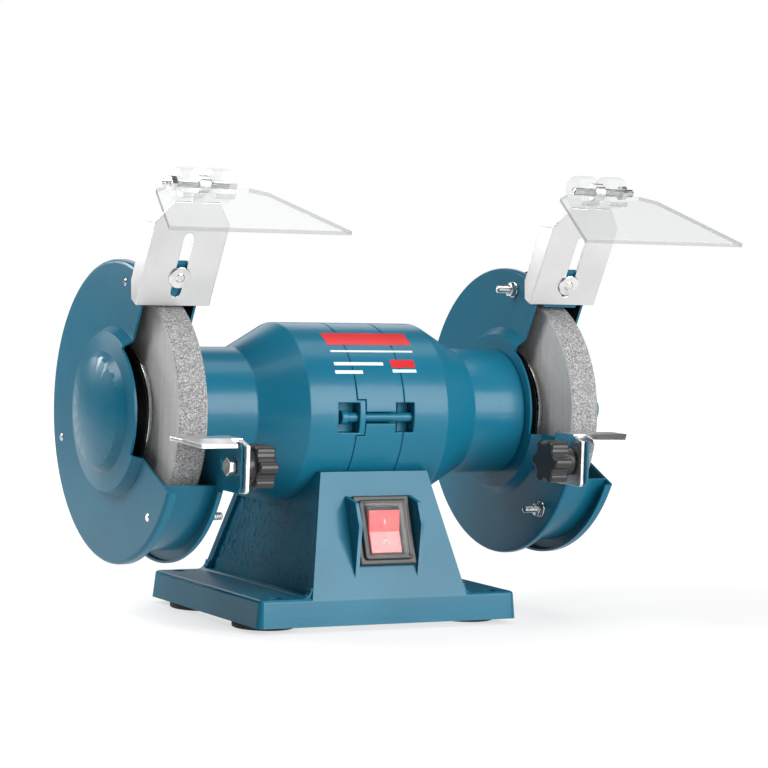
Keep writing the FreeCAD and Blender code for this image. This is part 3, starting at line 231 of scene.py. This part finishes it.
def guard_paint(name, way):
    """Blue sheet, with painted shade: the sides that face the wheel's upper half are painted a
    dull near black where shadow falls inside the guard.
    """
    paint = Finish(name, Coat_Roughness=0.10, Specular_IOR_Level=PAINT_SHINE)
    (x, y, z), _ = paint.place()
    out, front, up = paint.normal()
    height = z - AXIS_HEIGHT
    radius = (y * y + height * height) ** 0.5
    outward = out * way
    on_plate = (outward > 0.4) * (GUARD_MIDDLE > abs(x))
    on_cover = (-0.4 > outward) * (abs(x) > GUARD_MIDDLE)
    on_band = (-0.4 * radius > front * y + up * height) * (BAND_RADIUS > radius)
    upper = paint.between(height, -6 * MM, 6 * MM)
    # Painted shade: near black on the wheel-facing sides in the guard's upper half, where shadow
    # falls inside the guard.
    painted_shade = paint.maths("MINIMUM", on_plate + on_cover + on_band, 1.0) * upper
    cloud = paint.noise(14, 3)
    speck = paint.noise(900, 2)
    blue = paint.mixed(paint.between(cloud, 0.3, 0.7), BLUE, DEEP_BLUE)
    # The painted shade's colour: a dark grey that varies at random.
    shade_tone = paint.mixed(paint.between(paint.noise(60, 6, 0.65), 0.45, 0.75),
                       (0.006, 0.006, 0.007), (0.022, 0.022, 0.023))
    paint.feed("Base Color", paint.mixed(painted_shade, blue, shade_tone))
    paint.feed("Coat Weight", 0.10 - 0.10 * painted_shade)
    paint.feed("Roughness", 0.27 + cloud * 0.06 + speck * 0.05 + painted_shade * 0.3)
    paint.bumps((paint.noise(90, 4, 0.55), 0.00012), (speck, 0.00001))
    return paint.material


def plated(name, light, dark, roughness):
    """Bright zinc plate with the cloudy spangle that it dries with."""
    zinc = Finish(name, Metallic=1.0)
    cloud = zinc.noise(110, 5, 0.6)
    zinc.feed("Base Color", zinc.mixed(zinc.between(cloud, 0.35, 0.65), light, dark))
    zinc.feed("Roughness", roughness + cloud * 0.14)
    zinc.bumps((zinc.noise(1400, 3), 0.00002))
    return zinc.material


def brushed_sheet():
    """Satin stainless sheet, its fine lines running across X."""
    steel = Finish("stainless_sheet", Metallic=1.0)
    lines = steel.noise(1, 4, 0.6, steel.stretched(60, 2400, 2400))
    cloud = steel.noise(30, 3)
    steel.feed("Base Color", steel.mixed(steel.between(cloud, 0.3, 0.7), (0.74, 0.74, 0.735),
                                         (0.66, 0.66, 0.66)))
    steel.feed("Roughness", 0.24 + lines * 0.16)
    steel.bumps((lines, 0.00002))
    return steel.material


def turned_steel(name, color, roughness):
    """Ground and turned steel with fine rings about the spindle."""
    steel = Finish(name, Metallic=1.0)
    (x, y, z), _ = steel.place()
    radius = (y * y + (z - AXIS_HEIGHT) * (z - AXIS_HEIGHT)) ** 0.5
    rings = steel.maths("SINE", (radius + x) * 21000)
    smear = steel.noise(80, 5, 0.6)
    steel.feed("Base Color", steel.mixed(steel.between(smear, 0.35, 0.7), color,
                                         tuple(0.72 * c for c in color)))
    steel.feed("Roughness", roughness + smear * 0.12)
    steel.bumps((rings, 0.000004))
    return steel.material


def flange_steel():
    """Dark pressed flange whose outer rim is turned bright."""
    steel = Finish("flange_steel")
    (_, y, z), _ = steel.place()
    radius = (y * y + (z - AXIS_HEIGHT) * (z - AXIS_HEIGHT)) ** 0.5
    bright = steel.between(radius, 31.2 * MM, 31.8 * MM)
    smear = steel.noise(90, 5, 0.6)
    steel.feed("Base Color", steel.mixed(bright, (0.02, 0.02, 0.022), (0.74, 0.74, 0.73)))
    steel.feed("Metallic", 0.2 + bright * 0.8)
    steel.feed("Roughness", 0.5 - bright * 0.28 + smear * 0.1)
    steel.bumps((smear, 0.00006))
    return steel.material


def abrasive():
    """Vitrified grit: a coarse, speckled rim, and smoother sides with saw streaks."""
    grit = Finish("abrasive", Roughness=0.85)
    side = grit.between(abs(grit.normal()[0]), 0.55, 0.85)
    grains = grit.cells(2000)
    shade = grit.add("ShaderNodeSeparateColor", inputs={0: grains})
    fine = grit.noise(2300, 3, 0.7)
    coarse = grit.noise(700, 4, 0.75)
    streaks = grit.noise(1, 3, 0.6, grit.stretched(1, 620, 16))
    speckle = shade * 0.45 + fine * 0.3 + coarse * 0.45
    rim = grit.add("ShaderNodeValToRGB", {"stops": [
        (0.30, (0.10, 0.10, 0.101)), (0.52, (0.23, 0.23, 0.232)),
        (0.72, (0.37, 0.37, 0.372)), (0.90, (0.60, 0.60, 0.60))]}, {0: speckle})
    face = grit.add("ShaderNodeValToRGB", {"stops": [
        (0.25, (0.30, 0.30, 0.298)), (0.55, (0.42, 0.42, 0.415)), (0.85, (0.54, 0.54, 0.53))]},
        {0: speckle * 0.45 + streaks * 0.55})
    grit.feed("Base Color", grit.mixed(side, rim, face))
    grit.bumps((speckle, 0.00055), (coarse * (1 - side), 0.0005))
    return grit.material


def card():
    paper = Finish("blotter_paper", Roughness=0.9)
    fibres = paper.noise(700, 5, 0.7)
    paper.feed("Base Color", paper.mixed(fibres, (0.05, 0.05, 0.055), (0.12, 0.12, 0.13)))
    paper.bumps((fibres, 0.00008))
    return paper.material


def moulded(name, color, roughness, coat=0.0):
    """Moulded plastic or rubber with a fine spark-eroded grain."""
    plastic = Finish(name, Coat_Weight=coat, Coat_Roughness=0.08)
    grain = plastic.noise(2600, 3, 0.6)
    cloud = plastic.noise(40, 3)
    plastic.feed("Base Color", plastic.mixed(plastic.between(cloud, 0.3, 0.7), color,
                                             tuple(0.8 * c for c in color)))
    plastic.feed("Roughness", roughness + grain * 0.1 + cloud * 0.05)
    plastic.bumps((grain, 0.00003))
    return plastic.material


def clear(name, tint, least, most):
    """Clear polycarbonate, denser where it is seen edge on, with a haze of fine scratches."""
    pane = Finish(name, IOR=1.5)
    haze = pane.between(pane.noise(1, 5, 0.7, pane.stretched(500, 60, 60)), 0.5, 0.8)
    glancing = pane.add("ShaderNodeLayerWeight", inputs={"Blend": 0.35}, output="Facing")
    pane.feed("Base Color", pane.mixed(haze, tint, tuple(0.94 * c for c in tint)))
    pane.feed("Roughness", 0.03 + haze * 0.06)
    pane.feed("Alpha", least + haze * 0.02 + glancing ** 3 * (most - least))
    pane.bumps((haze, 0.000003))
    return pane.material


def laminations():
    steel = Finish("core_steel", Metallic=0.9)
    (x, _, _), _ = steel.place()
    layers = steel.maths("SINE", x * 12500)
    smear = steel.noise(120, 4)
    steel.feed("Base Color", steel.mixed(steel.between(layers, -0.6, 0.6), (0.10, 0.10, 0.11),
                                         (0.30, 0.30, 0.31)))
    steel.feed("Roughness", 0.4 + smear * 0.2)
    steel.bumps((layers, 0.00004))
    return steel.material


def windings():
    wire = Finish("copper", Metallic=0.6)
    strands = wire.noise(1, 4, 0.6, wire.stretched(1800, 300, 300))
    wire.feed("Base Color", wire.mixed(wire.between(strands, 0.35, 0.65), (0.45, 0.16, 0.05),
                                       (0.18, 0.055, 0.02)))
    wire.feed("Roughness", 0.3 + strands * 0.2)
    wire.bumps((strands, 0.0004))
    return wire.material


FINISHES = {
    "casting_paint": enamel("casting_paint", 260, rough_sides=True),
    "sheet_paint": enamel("sheet_paint", 90),
    "painted_bolts": enamel("painted_bolts", 300),
    "zinc_sheet": plated("zinc_sheet", (0.80, 0.80, 0.79), (0.64, 0.64, 0.65), 0.22),
    "zinc_screws": plated("zinc_screws", (0.82, 0.82, 0.81), (0.62, 0.62, 0.62), 0.12),
    "stainless_sheet": brushed_sheet(),
    "spindle_steel": turned_steel("spindle_steel", (0.62, 0.62, 0.63), 0.2),
    "flange_steel": flange_steel(),
    "core_steel": laminations(),
    "rotor_aluminium": plated("rotor_aluminium", (0.76, 0.77, 0.78), (0.6, 0.6, 0.61), 0.35),
    "copper": windings(),
    "abrasive": abrasive(),
    "blotter_paper": card(),
    "foot_rubber": moulded("foot_rubber", (0.012, 0.012, 0.012), 0.6),
    "black_plastic": moulded("black_plastic", (0.016, 0.016, 0.017), 0.32),
    "red_plastic": moulded("red_plastic", (0.62, 0.012, 0.016), 0.16, coat=0.5),
    "clear_plastic": clear("clear_plastic", (0.46, 0.48, 0.48), 0.12, 0.5),
    "capacitor_case": moulded("capacitor_case", (0.62, 0.62, 0.60), 0.25),
}
GUARD_PAINT = {side: guard_paint("guard_paint_" + side, way) for side, way in SIDES.items()}
MARK_WHITE = moulded("mark_white", (0.62, 0.66, 0.68), 0.35)
LABEL_RED = moulded("label_red", (0.55, 0.010, 0.014), 0.3)
# Painted shade: a darker grey, denser clear finish for the pane's edge faces, standing in for the
# dark outline light gives a clear pane's edges.
PANE_EDGE_SHADE = clear("pane_edge_shade", (0.24, 0.26, 0.26), 0.5, 0.75)
CAP_CLEAR = clear("cap_clear", (0.75, 0.76, 0.76), 0.05, 0.35)
SLOT_OF = {part["node"]: part["material_slot"] for part in frame["record"]["subparts"]}


# ---------------------------------------------------------------- mesh work

def new_piece(name, mesh):
    piece = bpy.data.objects.new(name, mesh)
    bpy.context.scene.collection.objects.link(piece)
    return piece


def soften(piece, edge, angle=32, clamp=False):
    """Round every edge sharper than the angle, and shade the rest smooth."""
    piece.data.set_sharp_from_angle(angle=math.radians(angle))
    if edge:
        bevel = piece.modifiers.new("edges", "BEVEL")
        bevel.width = edge
        bevel.segments = 2
        bevel.limit_method = "ANGLE"
        bevel.angle_limit = math.radians(angle)
        bevel.use_clamp_overlap = clamp
    even = piece.modifiers.new("even_shading", "WEIGHTED_NORMAL")
    even.keep_sharp = True
    even.weight = 100
    return piece


def settle(piece, slot, body, finish=None):
    """Give a piece its finish and its body."""
    piece.data.materials.append(finish or FINISHES[slot])
    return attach(piece, body)


def body_of(node):
    return next(body for body, nodes in frame["record"]["behaviour"]["bodies"].items()
                if node in nodes)


def dressed(node, edge, angle=32, finish=None, clamp=False):
    """Stand a piece with softened edges in for a node of the frame."""
    mesh = frame["nodes"][node].data.copy()
    mesh.materials.clear()
    shape = bmesh.new()
    shape.from_mesh(mesh)
    bmesh.ops.remove_doubles(shape, verts=shape.verts, dist=0.002 * MM)
    bmesh.ops.dissolve_limit(shape, angle_limit=math.radians(0.6), verts=shape.verts,
                             edges=shape.edges)
    shape.to_mesh(mesh)
    shape.free()
    piece = soften(new_piece(node + "_finished", mesh), edge, angle, clamp=clamp)
    settle(piece, SLOT_OF[node], body_of(node), finish)
    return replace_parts(piece, node)


def two_tone(piece, second, is_second):
    """Paint with a second finish the faces that the function is_second picks."""
    piece.data.materials.append(second)
    for face in piece.data.polygons:
        if is_second(face):
            face.material_index = 1


def islands(node):
    """The boxes of the separate solids in one node, as (lowest, highest) corners."""
    shape = bmesh.new()
    shape.from_mesh(frame["nodes"][node].data)
    bmesh.ops.remove_doubles(shape, verts=shape.verts, dist=0.002 * MM)
    left = set(shape.verts)
    boxes = []
    while left:
        group, edge_of_group = set(), [min(left, key=lambda vert: vert.index)]
        while edge_of_group:
            vert = edge_of_group.pop()
            if vert in group:
                continue
            group.add(vert)
            edge_of_group += [edge.other_vert(vert) for edge in vert.link_edges]
        left -= group
        low = Vector([min(vert.co[i] for vert in group) for i in range(3)])
        high = Vector([max(vert.co[i] for vert in group) for i in range(3)])
        boxes.append((low, high))
    shape.free()
    return boxes


def pointing(direction, at):
    """The frame at a point whose Z runs along a direction."""
    turn = Vector(direction).to_track_quat("Z", "Y").to_matrix().to_4x4()
    return Matrix.Translation(at) @ turn


def lathe(shape, matrix, profile, steps=40):
    """Turn a closed profile of (height, radius) about the matrix's Z axis."""
    rings = []
    for height, radius in profile:
        if radius < 0.001 * MM:
            rings.append([shape.verts.new(matrix @ Vector((0, 0, height)))] * steps)
            continue
        turns = [2 * math.pi * i / steps for i in range(steps)]
        rings.append([shape.verts.new(matrix @ Vector((radius * math.cos(t),
                                                       radius * math.sin(t), height)))
                      for t in turns])
    for low, high in zip(rings, rings[1:]):
        for i in range(steps):
            corners = [low[i], low[(i + 1) % steps], high[(i + 1) % steps], high[i]]
            corners = list(dict.fromkeys(corners))
            if len(corners) > 2:
                shape.faces.new(corners)


def hex_nut(shape, matrix, across, height, bore):
    """A nut with chamfered corners: a hexagon at each end and a wider one between."""
    wide = across / math.sqrt(3)
    narrow = across / 2
    chamfer = 0.12 * height
    lathe(shape, matrix, [(0, bore), (0, narrow), (chamfer, wide), (height - chamfer, wide),
                          (height, narrow), (height, bore), (0, bore)], steps=6)


def washer(shape, matrix, radius, height, bore):
    round_over = 0.3 * height
    lathe(shape, matrix, [(0, bore), (0, radius - round_over), (round_over, radius),
                          (height - round_over, radius), (height, radius - round_over),
                          (height, bore), (0, bore)])


def thread(shape, matrix, radius, length, pitch):
    """A threaded end: ridges a pitch apart, and a chamfered tip."""
    depth = 0.6 * pitch
    profile = [(0, 0), (0, radius - depth)]
    ridges = int(length / pitch)
    for i in range(ridges):
        profile += [((i + 0.5) * pitch, radius), ((i + 1) * pitch, radius - depth)]
    profile.append((length, 0))
    lathe(shape, matrix, profile)


def cut_with(base, cutter):
    """Take the cutter out of the base, and return what is left as a mesh."""
    tool = base.modifiers.new("recess", "BOOLEAN")
    tool.operation = "DIFFERENCE"
    tool.object = cutter
    bpy.context.view_layer.update()
    mesh = bpy.data.meshes.new_from_object(
        base.evaluated_get(bpy.context.evaluated_depsgraph_get()))
    for piece in (base, cutter):
        bpy.data.objects.remove(piece)
    return mesh


def cross_head(radius, height):
    """A pan head with a cross recess, standing on Z = 0 and pointing up."""
    shape = bmesh.new()
    dome = [(height * (0.45 + 0.55 * math.sin(t)), radius * (0.72 + 0.28 * math.cos(t)))
            for t in (math.radians(15 * i) for i in range(7))]
    crown = [(height * 1.04, radius * 0.4), (height * 1.05, 0)]
    lathe(shape, Matrix(), [(0, 0), (0, radius * 0.96), (height * 0.12, radius)] + dome + crown)
    head = bpy.data.meshes.new("head")
    shape.to_mesh(head)
    shape.free()
    shape = bmesh.new()
    for turn in (0, math.pi / 2):
        arm = bmesh.ops.create_cube(shape, size=1.0, matrix=Matrix.Rotation(turn, 4, "Z")
                                    @ Matrix.Translation((0, 0, height))
                                    @ Matrix.Diagonal((radius * 1.05, radius * 0.26,
                                                       height * 1.1, 1)))
        for vert in arm["verts"]:
            if vert.co.z < height:
                vert.co.x *= 0.45
                vert.co.y *= 0.45
    cross = bpy.data.meshes.new("cross")
    shape.to_mesh(cross)
    shape.free()
    return cut_with(new_piece("head", head), new_piece("cross", cross))


def stamp(shape, mesh, matrix):
    """Add a copy of a ready mesh, moved by the matrix."""
    before = len(shape.verts)
    shape.from_mesh(mesh)
    shape.verts.ensure_lookup_table()
    for vert in shape.verts[before:]:
        vert.co = matrix @ vert.co


def finish_shape(shape, name, edge=0.0, angle=35):
    bmesh.ops.recalc_face_normals(shape, faces=shape.faces)
    mesh = bpy.data.meshes.new(name)
    shape.to_mesh(mesh)
    shape.free()
    return soften(new_piece(name, mesh), edge, angle)


# ---------------------------------------------------------------- fasteners

SMALL_HEAD = cross_head(3.9 * MM, 2.4 * MM)
LARGE_HEAD = cross_head(4.7 * MM, 2.9 * MM)
FINE_PITCH = 0.7 * MM


def centre(box):
    return (box[0] + box[1]) / 2


def guard_screws(side, way):
    """Three long screws through a guard, their heads outside and threads towards the motor."""
    node = "guard_screws_" + side
    shape = bmesh.new()
    for box in islands(node):
        middle = centre(box)
        inner, outer = sorted((box[0].x, box[1].x), key=abs)
        head_base = Vector((outer - way * 2.4 * MM, middle.y, middle.z))
        stamp(shape, SMALL_HEAD, pointing((way, 0, 0), head_base))
        length = abs(outer - inner) - 2.2 * MM
        thread(shape, pointing((-way, 0, 0), head_base + Vector((way * 0.2 * MM, 0, 0))),
               SMALL_THREAD, length, FINE_PITCH)
    screws = finish_shape(shape, "screws_" + side)
    settle(screws, "zinc_screws", "root")
    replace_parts(screws, node)


def guard_nuts(side, way):
    """A washer and a nut on each guard screw, on the motor's side of the guard."""
    node = "guard_nuts_" + side
    shape = bmesh.new()
    for box in islands(node):
        middle = centre(box)
        inner, outer = sorted((box[0].x, box[1].x), key=abs)
        face = Vector((outer, middle.y, middle.z))
        back = pointing((-way, 0, 0), face)
        thick = 0.8 * MM
        washer(shape, back, 4.4 * MM, thick, SMALL_BORE)
        nut = pointing((-way, 0, 0), face - Vector((way * thick, 0, 0)))
        hex_nut(shape, nut, SMALL_NUT, abs(outer - inner) - thick, SMALL_BORE)
    nuts = finish_shape(shape, "nuts_" + side, 0.15 * MM)
    settle(nuts, "zinc_screws", "root")
    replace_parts(nuts, node)


def bracket_screw(side):
    """The screw that clamps a spark bracket, with its washer, and its nut behind the tab."""
    node = "bracket_screw_" + side
    middle = centre(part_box(node))
    foot = Vector((middle.x, 0, AXIS_HEIGHT)) + ALONG_EDGE * CLAMP_ALONG
    shape = bmesh.new()
    washer(shape, pointing(OUT_OF_EDGE, foot + OUT_OF_EDGE * 6.1 * MM), 5.8 * MM, 0.9 * MM,
           LARGE_BORE)
    stamp(shape, LARGE_HEAD, pointing(OUT_OF_EDGE, foot + OUT_OF_EDGE * 6.95 * MM))
    thread(shape, pointing(-OUT_OF_EDGE, foot + OUT_OF_EDGE * 7.2 * MM), LARGE_THREAD, 9 * MM,
           FINE_PITCH)
    hex_nut(shape, pointing(-OUT_OF_EDGE, foot + OUT_OF_EDGE * 2.7 * MM), LARGE_NUT, 3.2 * MM,
            LARGE_BORE)
    screw = finish_shape(shape, "clamp_screw_" + side)
    settle(screw, "zinc_screws", "root")
    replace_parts(screw, node)


def hinge_screw(side, way):
    """The hinge pin of an eye shield: head towards the motor, nut and thread end outside."""
    node = "hinge_screw_" + side
    low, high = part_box(node)
    middle = (low + high) / 2
    inner, outer = sorted((low.x, high.x), key=abs)
    start = Vector((inner, middle.y, middle.z))
    out = Vector((way, 0, 0))
    shape = bmesh.new()
    stamp(shape, SMALL_HEAD, pointing(-out, start + out * 2.6 * MM))
    length = abs(outer - inner) - 2.4 * MM
    thread(shape, pointing(-out, start + out * (length + 2.4 * MM)), SMALL_THREAD, length,
           FINE_PITCH)
    hex_nut(shape, pointing(out, start + out * 31.2 * MM), SMALL_NUT, 3.2 * MM, SMALL_BORE)
    pin = finish_shape(shape, "hinge_pin_" + side)
    settle(pin, "zinc_screws", body_of(node))
    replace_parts(pin, node)


# ---------------------------------------------------------------- guards and motor

def guard(side):
    """A guard's three sheets: the cover, the plate on the motor's side and the band between."""
    for node, edge in (("guard_cover_", 0.2), ("guard_plate_", 0.12), ("guard_band_", 0.12)):
        dressed(node + side, edge * MM, finish=GUARD_PAINT[side], clamp=True)


def eye_shield(side):
    """The clear pane, its edge faces painted greyer and denser than its faces: painted shade for
    the dark outline that light gives a clear pane's edges.
    """
    pane = dressed("eye_shield_" + side, 0.3 * MM)
    two_tone(pane, PANE_EDGE_SHADE, lambda face: abs(face.normal.z) < 0.5
             and face.center.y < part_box("hinge_screw_" + side)[0].y - 4 * MM)


def motor():
    for node, edge in (("end_bell_left", 0.5), ("end_bell_right", 0.5), ("stator_shell", 0.35),
                       ("through_bolts", 0.4)):
        dressed(node, edge * MM)
    dressed("base_casting", 0.3 * MM, clamp=True)


def barrel_patch(name, x_range, turn_range, lift, finish):
    """A thin printed patch on the barrel, between two places in X and two angles up."""
    radius = BARREL_RADIUS + lift
    steps = 16
    shape = bmesh.new()
    rows = []
    for i in range(steps + 1):
        turn = math.radians(turn_range[0] + (turn_range[1] - turn_range[0]) * i / steps)
        at = (-radius * math.cos(turn), AXIS_HEIGHT + radius * math.sin(turn))
        rows.append([shape.verts.new((x * MM, *at)) for x in x_range])
    for low, high in zip(rows, rows[1:]):
        shape.faces.new((low[0], low[1], high[1], high[0]))
    mesh = bpy.data.meshes.new(name)
    shape.to_mesh(mesh)
    shape.free()
    for face in mesh.polygons:
        face.use_smooth = True
    settle(new_piece(name, mesh), "sheet_paint", "root", finish)


def label():
    """A plain printed label: a red bar, pale lines and a small red block, with no words."""
    for name, x_range, turn_range, finish in (
            ("label_bar", (-23, 26), (51.5, 64.5), LABEL_RED),
            ("label_line_top", (-23, 25), (45, 46.6), MARK_WHITE),
            ("label_line_wide", (-23.5, 5), (34.6, 37), MARK_WHITE),
            ("label_line_short", (-24, -8), (28.6, 31), MARK_WHITE),
            ("label_block", (9.5, 23.5), (33, 39), LABEL_RED),
            ("label_block_foot", (9.5, 23.5), (29.5, 31.8), MARK_WHITE)):
        barrel_patch(name, x_range, turn_range, 0.08 * MM, finish)


# ---------------------------------------------------------------- switch

def face_frame(rise, out):
    """A frame on the pedestal's leaning face, over the switch: X right, Y up the face, Z out."""
    low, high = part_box("switch_cap")
    up = Vector((0, math.sin(FACE_LEAN), math.cos(FACE_LEAN)))
    outward = Vector((0, -math.cos(FACE_LEAN), math.sin(FACE_LEAN)))
    middle = (low + high) / 2 - outward * 5.7 * MM
    origin = middle + up * rise + outward * out
    turn = Matrix((Vector((1, 0, 0)), up, outward)).transposed().to_4x4()
    return Matrix.Translation(origin) @ turn


def rounded_frame(shape, matrix, half_x, half_y, low, high, wall, corner, steps=6):
    """A rectangular frame with round corners, its inside wall straight."""
    def loop(grow, height):
        points = []
        for quarter, (x, y) in enumerate(((1, 1), (-1, 1), (-1, -1), (1, -1))):
            radius = max(corner + grow, 0.05 * MM)
            for i in range(steps + 1):
                turn = math.radians(90 * quarter + 90 * i / steps)
                points.append(matrix @ Vector((
                    x * (half_x - corner) + radius * math.cos(turn),
                    y * (half_y - corner) + radius * math.sin(turn), height)))
        return [shape.verts.new(point) for point in points]
    round_over = 0.35 * (high - low)
    loops = [loop(0, low), loop(0, high - round_over), loop(-round_over * 0.4,
                                                            high - round_over * 0.3),
             loop(-round_over, high), loop(-wall, high), loop(-wall, low)]
    loops.append(loops[0])
    for first, second in zip(loops, loops[1:]):
        for i in range(len(first)):
            j = (i + 1) % len(first)
            shape.faces.new((first[i], first[j], second[j], second[i]))


def switch():
    """Bezel with a raised collar round the clear cap, and a red rocker with its two marks."""
    dressed("switch_housing", 0.9 * MM)
    dressed("switch_cap", 0.6 * MM, finish=CAP_CLEAR)
    dressed("switch_rocker", 0.5 * MM)
    shape = bmesh.new()
    rounded_frame(shape, face_frame(0, 3 * MM), 14.0 * MM, 15.6 * MM, -0.4 * MM, 1.7 * MM,
                  1.45 * MM, 2.2 * MM)
    collar = finish_shape(shape, "switch_collar")
    settle(collar, "black_plastic", "root")
    rocker_marks()


def rocker_marks():
    """A ring on the pressed half of the rocker and a bar on the raised half."""
    tilt = Matrix.Rotation(math.radians(8), 4, "X")
    pivot = face_frame(0, -4 * MM)
    dip = math.atan2(1.8, 11)
    shape = bmesh.new()
    ring = pivot @ tilt @ Matrix.Translation((0, -6 * MM, 7.24 * MM)) \
        @ Matrix.Rotation(dip, 4, "X")
    lathe(shape, ring, [(-0.3 * MM, 1.4 * MM), (0.05 * MM, 1.4 * MM), (0.05 * MM, 2.0 * MM),
                        (-0.3 * MM, 2.0 * MM), (-0.3 * MM, 1.4 * MM)])
    bar = pivot @ tilt @ Matrix.Translation((0, 6 * MM, 7.14 * MM)) \
        @ Matrix.Rotation(-dip, 4, "X")
    bmesh.ops.create_cube(shape, size=1.0, matrix=bar @ Matrix.Diagonal(
        (0.6 * MM, 4 * MM, 0.3 * MM, 1)))
    marks = finish_shape(shape, "rocker_marks")
    settle(marks, "red_plastic", "rocker", MARK_WHITE)


# ---------------------------------------------------------------- the rest of the nodes

EDGES = {
    "tool_rest": 0.35, "spark_bracket": 0.3, "rest_knob": 0.9,
    "rest_bolt": 0.3, "grinding_wheel": 0.5, "outer_flange": 0.3, "inner_flange": 0.3,
    "spindle_nut": 0.5, "rubber_feet": 0.8, "cable_gland": 0.6, "terminal_block": 0.4,
    "capacitor": 1.0, "capacitor_clip": 0.2, "saddle_bolts": 0.3, "cover_screws": 0.3,
}


def remaining():
    """Dress every node that no other section has taken."""
    for node, item in frame["nodes"].items():
        if item.hide_render:
            continue
        family = node.removesuffix("_left").removesuffix("_right")
        dressed(node, EDGES.get(family, 0.0) * MM)


# ---------------------------------------------------------------- studio

def floor():
    """A pale floor that glows a little, more so away from the object and less on the far left."""
    mesh = bpy.data.meshes.new("floor")
    half = 6.0
    mesh.from_pydata([(-half, -half, 0), (half, -half, 0), (half, half, 0), (-half, half, 0)],
                     [], [(0, 1, 2, 3)])
    piece = new_piece("floor", mesh)
    pale = Finish("floor_paint", Roughness=0.9, Emission_Strength=1.0, Specular_IOR_Level=0.0)
    (x, y, _), _ = pale.place()
    far = pale.between((x * x + y * y) ** 0.5, 0.25, 0.9)
    glow = pale.mixed(far, (0.62, 0.62, 0.62), (1.0, 1.0, 1.0))
    lit = pale.between(x, -0.80, -0.35)
    pale.feed("Emission Color", pale.mixed(lit, (0.15, 0.15, 0.15), glow))
    cloud = pale.noise(2, 2)
    pale.feed("Base Color", pale.mixed(cloud, (0.36, 0.36, 0.36), (0.34, 0.34, 0.34)))
    mesh.materials.append(pale.material)


def softbox(name, at, size, power):
    light = bpy.data.lights.new(name, "AREA")
    light.shape = "RECTANGLE"
    light.size, light.size_y = size
    light.energy = power
    lamp = bpy.data.objects.new(name, light)
    bpy.context.scene.collection.objects.link(lamp)
    lamp.location = at
    aim = Vector((0, 0, AXIS_HEIGHT)) - Vector(at)
    lamp.rotation_euler = aim.to_track_quat("-Z", "Y").to_euler()


def surroundings():
    """White behind the object, and a softer glow than that all round it."""
    world = bpy.data.worlds.new("studio")
    bpy.context.scene.world = world
    world.use_nodes = True
    tree = world.node_tree
    glow = tree.nodes["Background"]
    glow.inputs["Color"].default_value = (1, 1, 1, 1)
    glow.inputs["Strength"].default_value = 0.05
    white = tree.nodes.new("ShaderNodeBackground")
    white.inputs["Color"].default_value = (1, 1, 1, 1)
    path = tree.nodes.new("ShaderNodeLightPath")
    seen = tree.nodes.new("ShaderNodeMath")
    seen.operation = "MAXIMUM"
    tree.links.new(path.outputs["Is Camera Ray"], seen.inputs[0])
    tree.links.new(path.outputs["Is Transmission Ray"], seen.inputs[1])
    mix = tree.nodes.new("ShaderNodeMixShader")
    tree.links.new(seen.outputs[0], mix.inputs[0])
    tree.links.new(glow.outputs[0], mix.inputs[1])
    tree.links.new(white.outputs[0], mix.inputs[2])
    tree.links.new(mix.outputs[0], tree.nodes["World Output"].inputs["Surface"])


def studio():
    floor()
    surroundings()
    softbox("key_front", (0.55, -1.7, 0.65), (1.5, 1.1), 50)
    softbox("left_high", (-0.60, 0.16, 0.66), (0.4, 0.3), 4)
    softbox("left_card", (-0.38, 0.42, 0.31), (0.16, 0.20), 1.6)
    softbox("top_strip", (0.1, -0.2, 1.3), (1.6, 0.5), 8)
    softbox("back_rim", (0.5, 1.5, 0.9), (1.2, 0.8), 5)
    bpy.context.scene.view_settings.view_transform = "Standard"


def camera():
    azimuth, elevation, roll = (math.radians(angle) for angle in (29.307, 3.425, 1.988))
    ahead = Vector((math.sin(azimuth) * math.cos(elevation),
                    math.cos(azimuth) * math.cos(elevation), -math.sin(elevation)))
    across = Vector((math.cos(azimuth), -math.sin(azimuth), 0))
    upright = across.cross(ahead)
    right = across * math.cos(roll) + upright * math.sin(roll)
    up = upright * math.cos(roll) - across * math.sin(roll)
    data = bpy.data.cameras.new("camera")
    data.sensor_width = 36
    data.lens = 138.4
    item = bpy.data.objects.new("camera", data)
    bpy.context.scene.collection.objects.link(item)
    turn = Matrix((right, up, -ahead)).transposed().to_4x4()
    item.matrix_world = Matrix.Translation((-0.7322, -1.3524, 0.1069 + AXIS_HEIGHT)) @ turn
    bpy.context.scene.camera = item


# ---------------------------------------------------------------- build

camera()
studio()
motor()
label()
switch()
for side, way in SIDES.items():
    guard(side)
    guard_screws(side, way)
    guard_nuts(side, way)
    bracket_screw(side)
    hinge_screw(side, way)
    eye_shield(side)
remaining()
